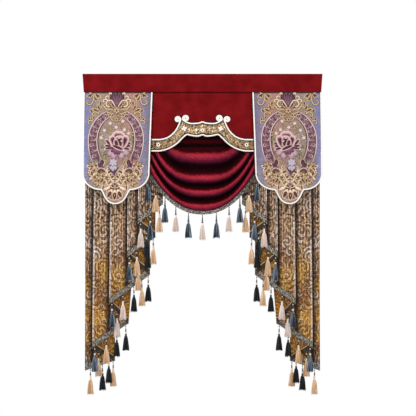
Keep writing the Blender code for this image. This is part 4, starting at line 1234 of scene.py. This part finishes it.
def placeTassels(places, turns, kinds, prefix, node, materials, paleBeads=True):
    # each tassel turned to face its braid; pieces are joined by what they are made of
    groups = {}
    for index, (place, (facing, lean), kind) in enumerate(zip(places, turns, kinds)):
        parts, tones = tasselParts(tasselLook["seed"] + index)
        sideways = np.cross(facing, (0.0, 0.0, 1.0))
        for label, (points, faces) in parts.items():
            name = {"yarn": f"yarn_{kind}", "pale": "pale" if paleBeads else "dark"}.get(label, label)
            forward = lean * smoothStep(-points[:, 2:], 0.0, 0.06) - points[:, 1:2]
            moved = place + points[:, :1] * sideways + forward * facing + points * (0.0, 0.0, 1.0)
            tone = tones if label == "yarn" else np.zeros(len(points))
            groups.setdefault(name, []).append((moved, faces, tone))
    for name, parts in sorted(groups.items()):
        points, faces = joinMeshes(parts)
        addPiece(f"{prefix}_{name}", node, tasselSlots.get(name, name), points, materials[name], faces=faces,
                 fields={"tone": np.concatenate([part[2] for part in parts])})


def buildBraid(name, node, bottom, top, facing, material, inner):
    # a woven strip with a raised cord along both edges, each a bell curve, and a row of loops
    # between; inner is how much painted shade darkens it along its length
    look = braidLook
    share = np.linspace(0.0, 1.0, look["columns"])
    cords = look["cord"] * sum(np.exp(-((share - at) / look["cordWide"]) ** 2) for at in look["cordPlaces"])
    rise = (look["thick"] + cords + look["loop"] * np.abs(np.sin(share * math.pi * look["loops"])))[:, None]
    middle = bottom[:, None] + (top - bottom)[:, None] * share[:, None]
    lift = facing[:, None] * rise
    points, faces = tubeMesh(np.concatenate((middle + lift, (middle - lift)[:, ::-1]), axis=1))
    across = np.concatenate((share, share[::-1])) * np.linalg.norm(top[0] - bottom[0])
    values = grid(runLength(bottom)[:, None], across, inner[:, None]).reshape(-1, 3)
    values = np.concatenate((values, values[:1], values[-1:]))
    addPiece(name, node, "braid", points, material, faces=faces, uv=values[:, :2], fields={"inner": values[:, 2]})


def buildSwagFringe(materials):
    x = np.linspace(-swagLook["halfWidth"], swagLook["halfWidth"], 261)
    bottom = swagEdge(x, 0.0)
    # painted shade on the braid towards both ends of the swag
    buildBraid("swag_braid", "swag_fringe", bottom, swagEdge(x, swagLook["braid"]), np.tile(front, (len(x), 1)),
               materials["braid"], 0.75 * smoothStep(np.abs(x), 0.19, 0.33))
    along = runLength(bottom)
    count = len(swagTassels) // 2
    places = readAt(along[-1] / 2 + swagTasselGap * np.arange(-count, count + 1), along, bottom)
    placeTassels(places, [(front, 0.012)] * len(places), swagTassels, "swag_tassel", "swag_fringe", materials, False)


def buildTailFringe(label, side, materials):
    q = tailStations()
    bottom, top = (grid(*tailPoint(q, z), z) * (side, 1.0, 1.0) for z in (tailHemZ(q),
            tailHemZ(q) + tailLook["braid"]))
    along = unit(np.gradient(bottom[:, :2], axis=0))
    facing = grid(along[:, 1], -along[:, 0], 0.0)
    # painted shade on the braid along the backs of the pleats
    buildBraid(f"tail_braid_{label}", f"tail_fringe_{label}", bottom, top, facing, materials["braid"],
               smoothStep(np.abs(q % 2.0 - 1.5), 0.56, 0.44))
    places, turns, kinds = [], [], []
    for pleat, row in enumerate(tailTassels):
        for share, kind in row:
            face = unit(readAt(pleat + share, q, facing))
            places.append(readAt(pleat + share, q, bottom))
            turns.append((face, math.copysign((0.011, 0.006)[pleat % 2], -face[1])))
            kinds.append(kind)
    placeTassels(places, turns, kinds, f"tail_tassel_{label}", f"tail_fringe_{label}", materials)


stageLook = {"lens": 100.0, "sensor": 36.0, "camera": (0.0344, -7.21, -0.8356), "key": (-1.6, -2.6, 1.6),
             "aim": (0.0, 0.0, -0.8), "keySize": 1.6, "keyPower": 45.0, "floorZ": -2.215, "floorY": -0.68,
             "floorRings": (0.02, 0.6, 1.1), "floorSides": 48}


def addObject(name, data):
    made = bpy.data.objects.new(name, data)
    bpy.context.scene.collection.objects.link(made)
    return made


def addCamera():
    data = bpy.data.cameras.new("camera")
    data.lens = stageLook["lens"]
    data.sensor_width = stageLook["sensor"]
    camera = addObject("camera", data)
    camera.location = stageLook["camera"]
    camera.rotation_euler = (math.radians(90.0), 0.0, 0.0)
    bpy.context.scene.camera = camera


def addStage():
    # white surroundings, one large lamp from the left and above, and a matt floor
    look = stageLook
    world = bpy.data.worlds.new("studio")
    world.use_nodes = True
    world.node_tree.nodes["Background"].inputs["Color"].default_value = (1.0, 1.0, 1.0, 1.0)
    world.node_tree.nodes["Background"].inputs["Strength"].default_value = 1.0
    bpy.context.scene.world = world
    bpy.context.scene.view_settings.view_transform = "Standard"
    data = bpy.data.lights.new("key", "AREA")
    data.shape = "RECTANGLE"
    data.size = data.size_y = look["keySize"]
    data.energy = look["keyPower"]
    lamp = addObject("key", data)
    lamp.location = look["key"]
    away = unit(np.subtract(look["key"], look["aim"]))
    lamp.rotation_euler = (math.acos(away[2]), 0.0, math.atan2(away[0], -away[1]))
    angle = around(look["floorSides"])
    size = np.array(look["floorRings"])[:, None]
    rings = grid(size * np.cos(angle), size * np.sin(angle) + look["floorY"], look["floorZ"])
    mesh = bpy.data.meshes.new("floor")
    mesh.from_pydata(rings.reshape(-1, 3).tolist(), [], gridFaces(*rings.shape[:2], closed=True).tolist())
    paint = Surface("floor_paint", 0.8, 0.0, (1.0, 1.0, 1.0), 0.1)
    mesh.materials.append(paint.finish(paint.place().noise(3.0).mix((0.84, 0.84, 0.83), (0.88, 0.88, 0.87))))
    addObject("floor", mesh)


addCamera()
addStage()
print("camera, light and floor made")

velvetReds = ((0.13, 0.003, 0.0045), (0.19, 0.006, 0.0085))
whiteCord = cordMaterial("piping_satin", (0.94, 0.92, 0.87), (0.8, 0.77, 0.71))
# dark velvet for the strips behind the pipings, a painted shadow
pipingShadow = velvetMaterial("piping_shadow", (0.022, 0.0008, 0.0014), (0.05, 0.0018, 0.0028), 0.9, 0.02)
buildHeading(velvetMaterial("heading_velvet", *velvetReds))
# hem=True paints the heading's shadow across the top of the panel
buildPanel(velvetMaterial("panel_velvet", *velvetReds, hem=True))
buildBand(bandMaterial())
buildBandPiping(whiteCord, pipingShadow)

# rim, body and crown colour of each thread; the rim colours carry painted shade and the crown colours a painted
# highlight
threadTints = {
    "gold": ((0.06, 0.022, 0.01), (0.32, 0.185, 0.08), (0.65, 0.48, 0.275)),
    "cream": ((0.12, 0.046, 0.028), (0.52, 0.345, 0.235), (0.86, 0.69, 0.51)),
    "border": ((0.12, 0.055, 0.055), (0.44, 0.3, 0.295), (0.74, 0.58, 0.55)),
    "purple": ((0.024, 0.004, 0.012), (0.072, 0.018, 0.042), (0.128, 0.044, 0.084)),
    "mauve": ((0.041, 0.009, 0.021), (0.112, 0.039, 0.066), (0.18, 0.078, 0.112)),
    "plum": ((0.06, 0.012, 0.03), (0.15, 0.04, 0.084), (0.24, 0.09, 0.15)),
    "petal": ((0.18, 0.08, 0.11), (0.4, 0.24, 0.29), (0.56, 0.42, 0.45)),
    "pink": ((0.09, 0.02, 0.034), (0.28, 0.12, 0.15), (0.52, 0.35, 0.36)),
    "green": ((0.05, 0.045, 0.02), (0.15, 0.14, 0.07), (0.28, 0.27, 0.15)),
    "rose": ((0.052, 0.009, 0.016), (0.25, 0.085, 0.108), (0.68, 0.48, 0.46)),
    "pale": ((0.26, 0.14, 0.13), (0.54, 0.39, 0.37), (0.78, 0.66, 0.63)),
    "lilac": ((0.16, 0.11, 0.15), (0.34, 0.28, 0.34), (0.62, 0.57, 0.62)),
    "wine": ((0.034, 0.008, 0.005), (0.07, 0.02, 0.011), (0.12, 0.044, 0.024)),
    "peach": ((0.15, 0.06, 0.036), (0.7, 0.48, 0.35), (0.92, 0.74, 0.58)),
    "almond": ((0.06, 0.014, 0.008), (0.28, 0.1, 0.045), (0.8, 0.58, 0.38))}
threads = {name: threadMaterial(name, *tints) for name, tints in threadTints.items()}
ivory = threadMaterial("ivory", (0.15, 0.06, 0.03), (0.9, 0.82, 0.7), (1.0, 0.96, 0.9))
buildBandRelief({**threads, "cream": ivory})
print("heading, panel and band made")
flagSilk = flagMaterial()
for label, side in (("left", 1.0), ("right", -1.0)):
    buildFlag(label, side, flagSilk)
    buildFlagPiping(label, side, whiteCord, pipingShadow)
    buildEmbroidery(label, side, threads)
print("flags made")
buildSwag(swagMaterial())
print("swag made")

# ground, deep, gold, pale, rust and tan
faceTints = ((0.25, 0.125, 0.052), (0.016, 0.006, 0.003), (0.68, 0.36, 0.064),
             (0.59, 0.48, 0.4), (0.31, 0.11, 0.036), (0.46, 0.27, 0.115))
wrongTints = ((0.3, 0.125, 0.025), (0.03, 0.01, 0.003), (0.52, 0.24, 0.032),
              (0.38, 0.22, 0.09), (0.18, 0.06, 0.012), (0.36, 0.18, 0.06))
brocades = [brocadeMaterial("tail_brocade_face", faceTints), brocadeMaterial("tail_brocade_wrong", wrongTints, True)]
# colours of the yarn from dark to light
yarnTints = {"peach": ((0.44, 0.22, 0.09), (0.84, 0.57, 0.34), (0.98, 0.88, 0.75)),
             "cream": ((0.5, 0.35, 0.29), (0.86, 0.73, 0.66), (1.0, 0.96, 0.93)),
             "slate": ((0.003, 0.004, 0.007), (0.078, 0.11, 0.15), (0.43, 0.54, 0.66)),
             "black": ((0.003, 0.003, 0.004), (0.014, 0.016, 0.018), (0.07, 0.078, 0.084))}
fringes = {f"yarn_{name}": yarnMaterial(f"yarn_{name}", *tints) for name, tints in yarnTints.items()}
fringes["braid"] = braidMaterial()
fringes["cord"] = cordMaterial("tassel_cord", (0.16, 0.14, 0.12), (0.04, 0.034, 0.03))
fringes["pale"] = beadMaterial("bead_ivory", (0.82, 0.78, 0.68), 0.25)
fringes["dark"] = beadMaterial("bead_black", (0.02, 0.018, 0.02), 0.2)
for label, side in (("left", 1.0), ("right", -1.0)):
    buildTail(label, side, brocades)
    buildTailFringe(label, side, fringes)
buildSwagFringe(fringes)
print("tails and fringes made")
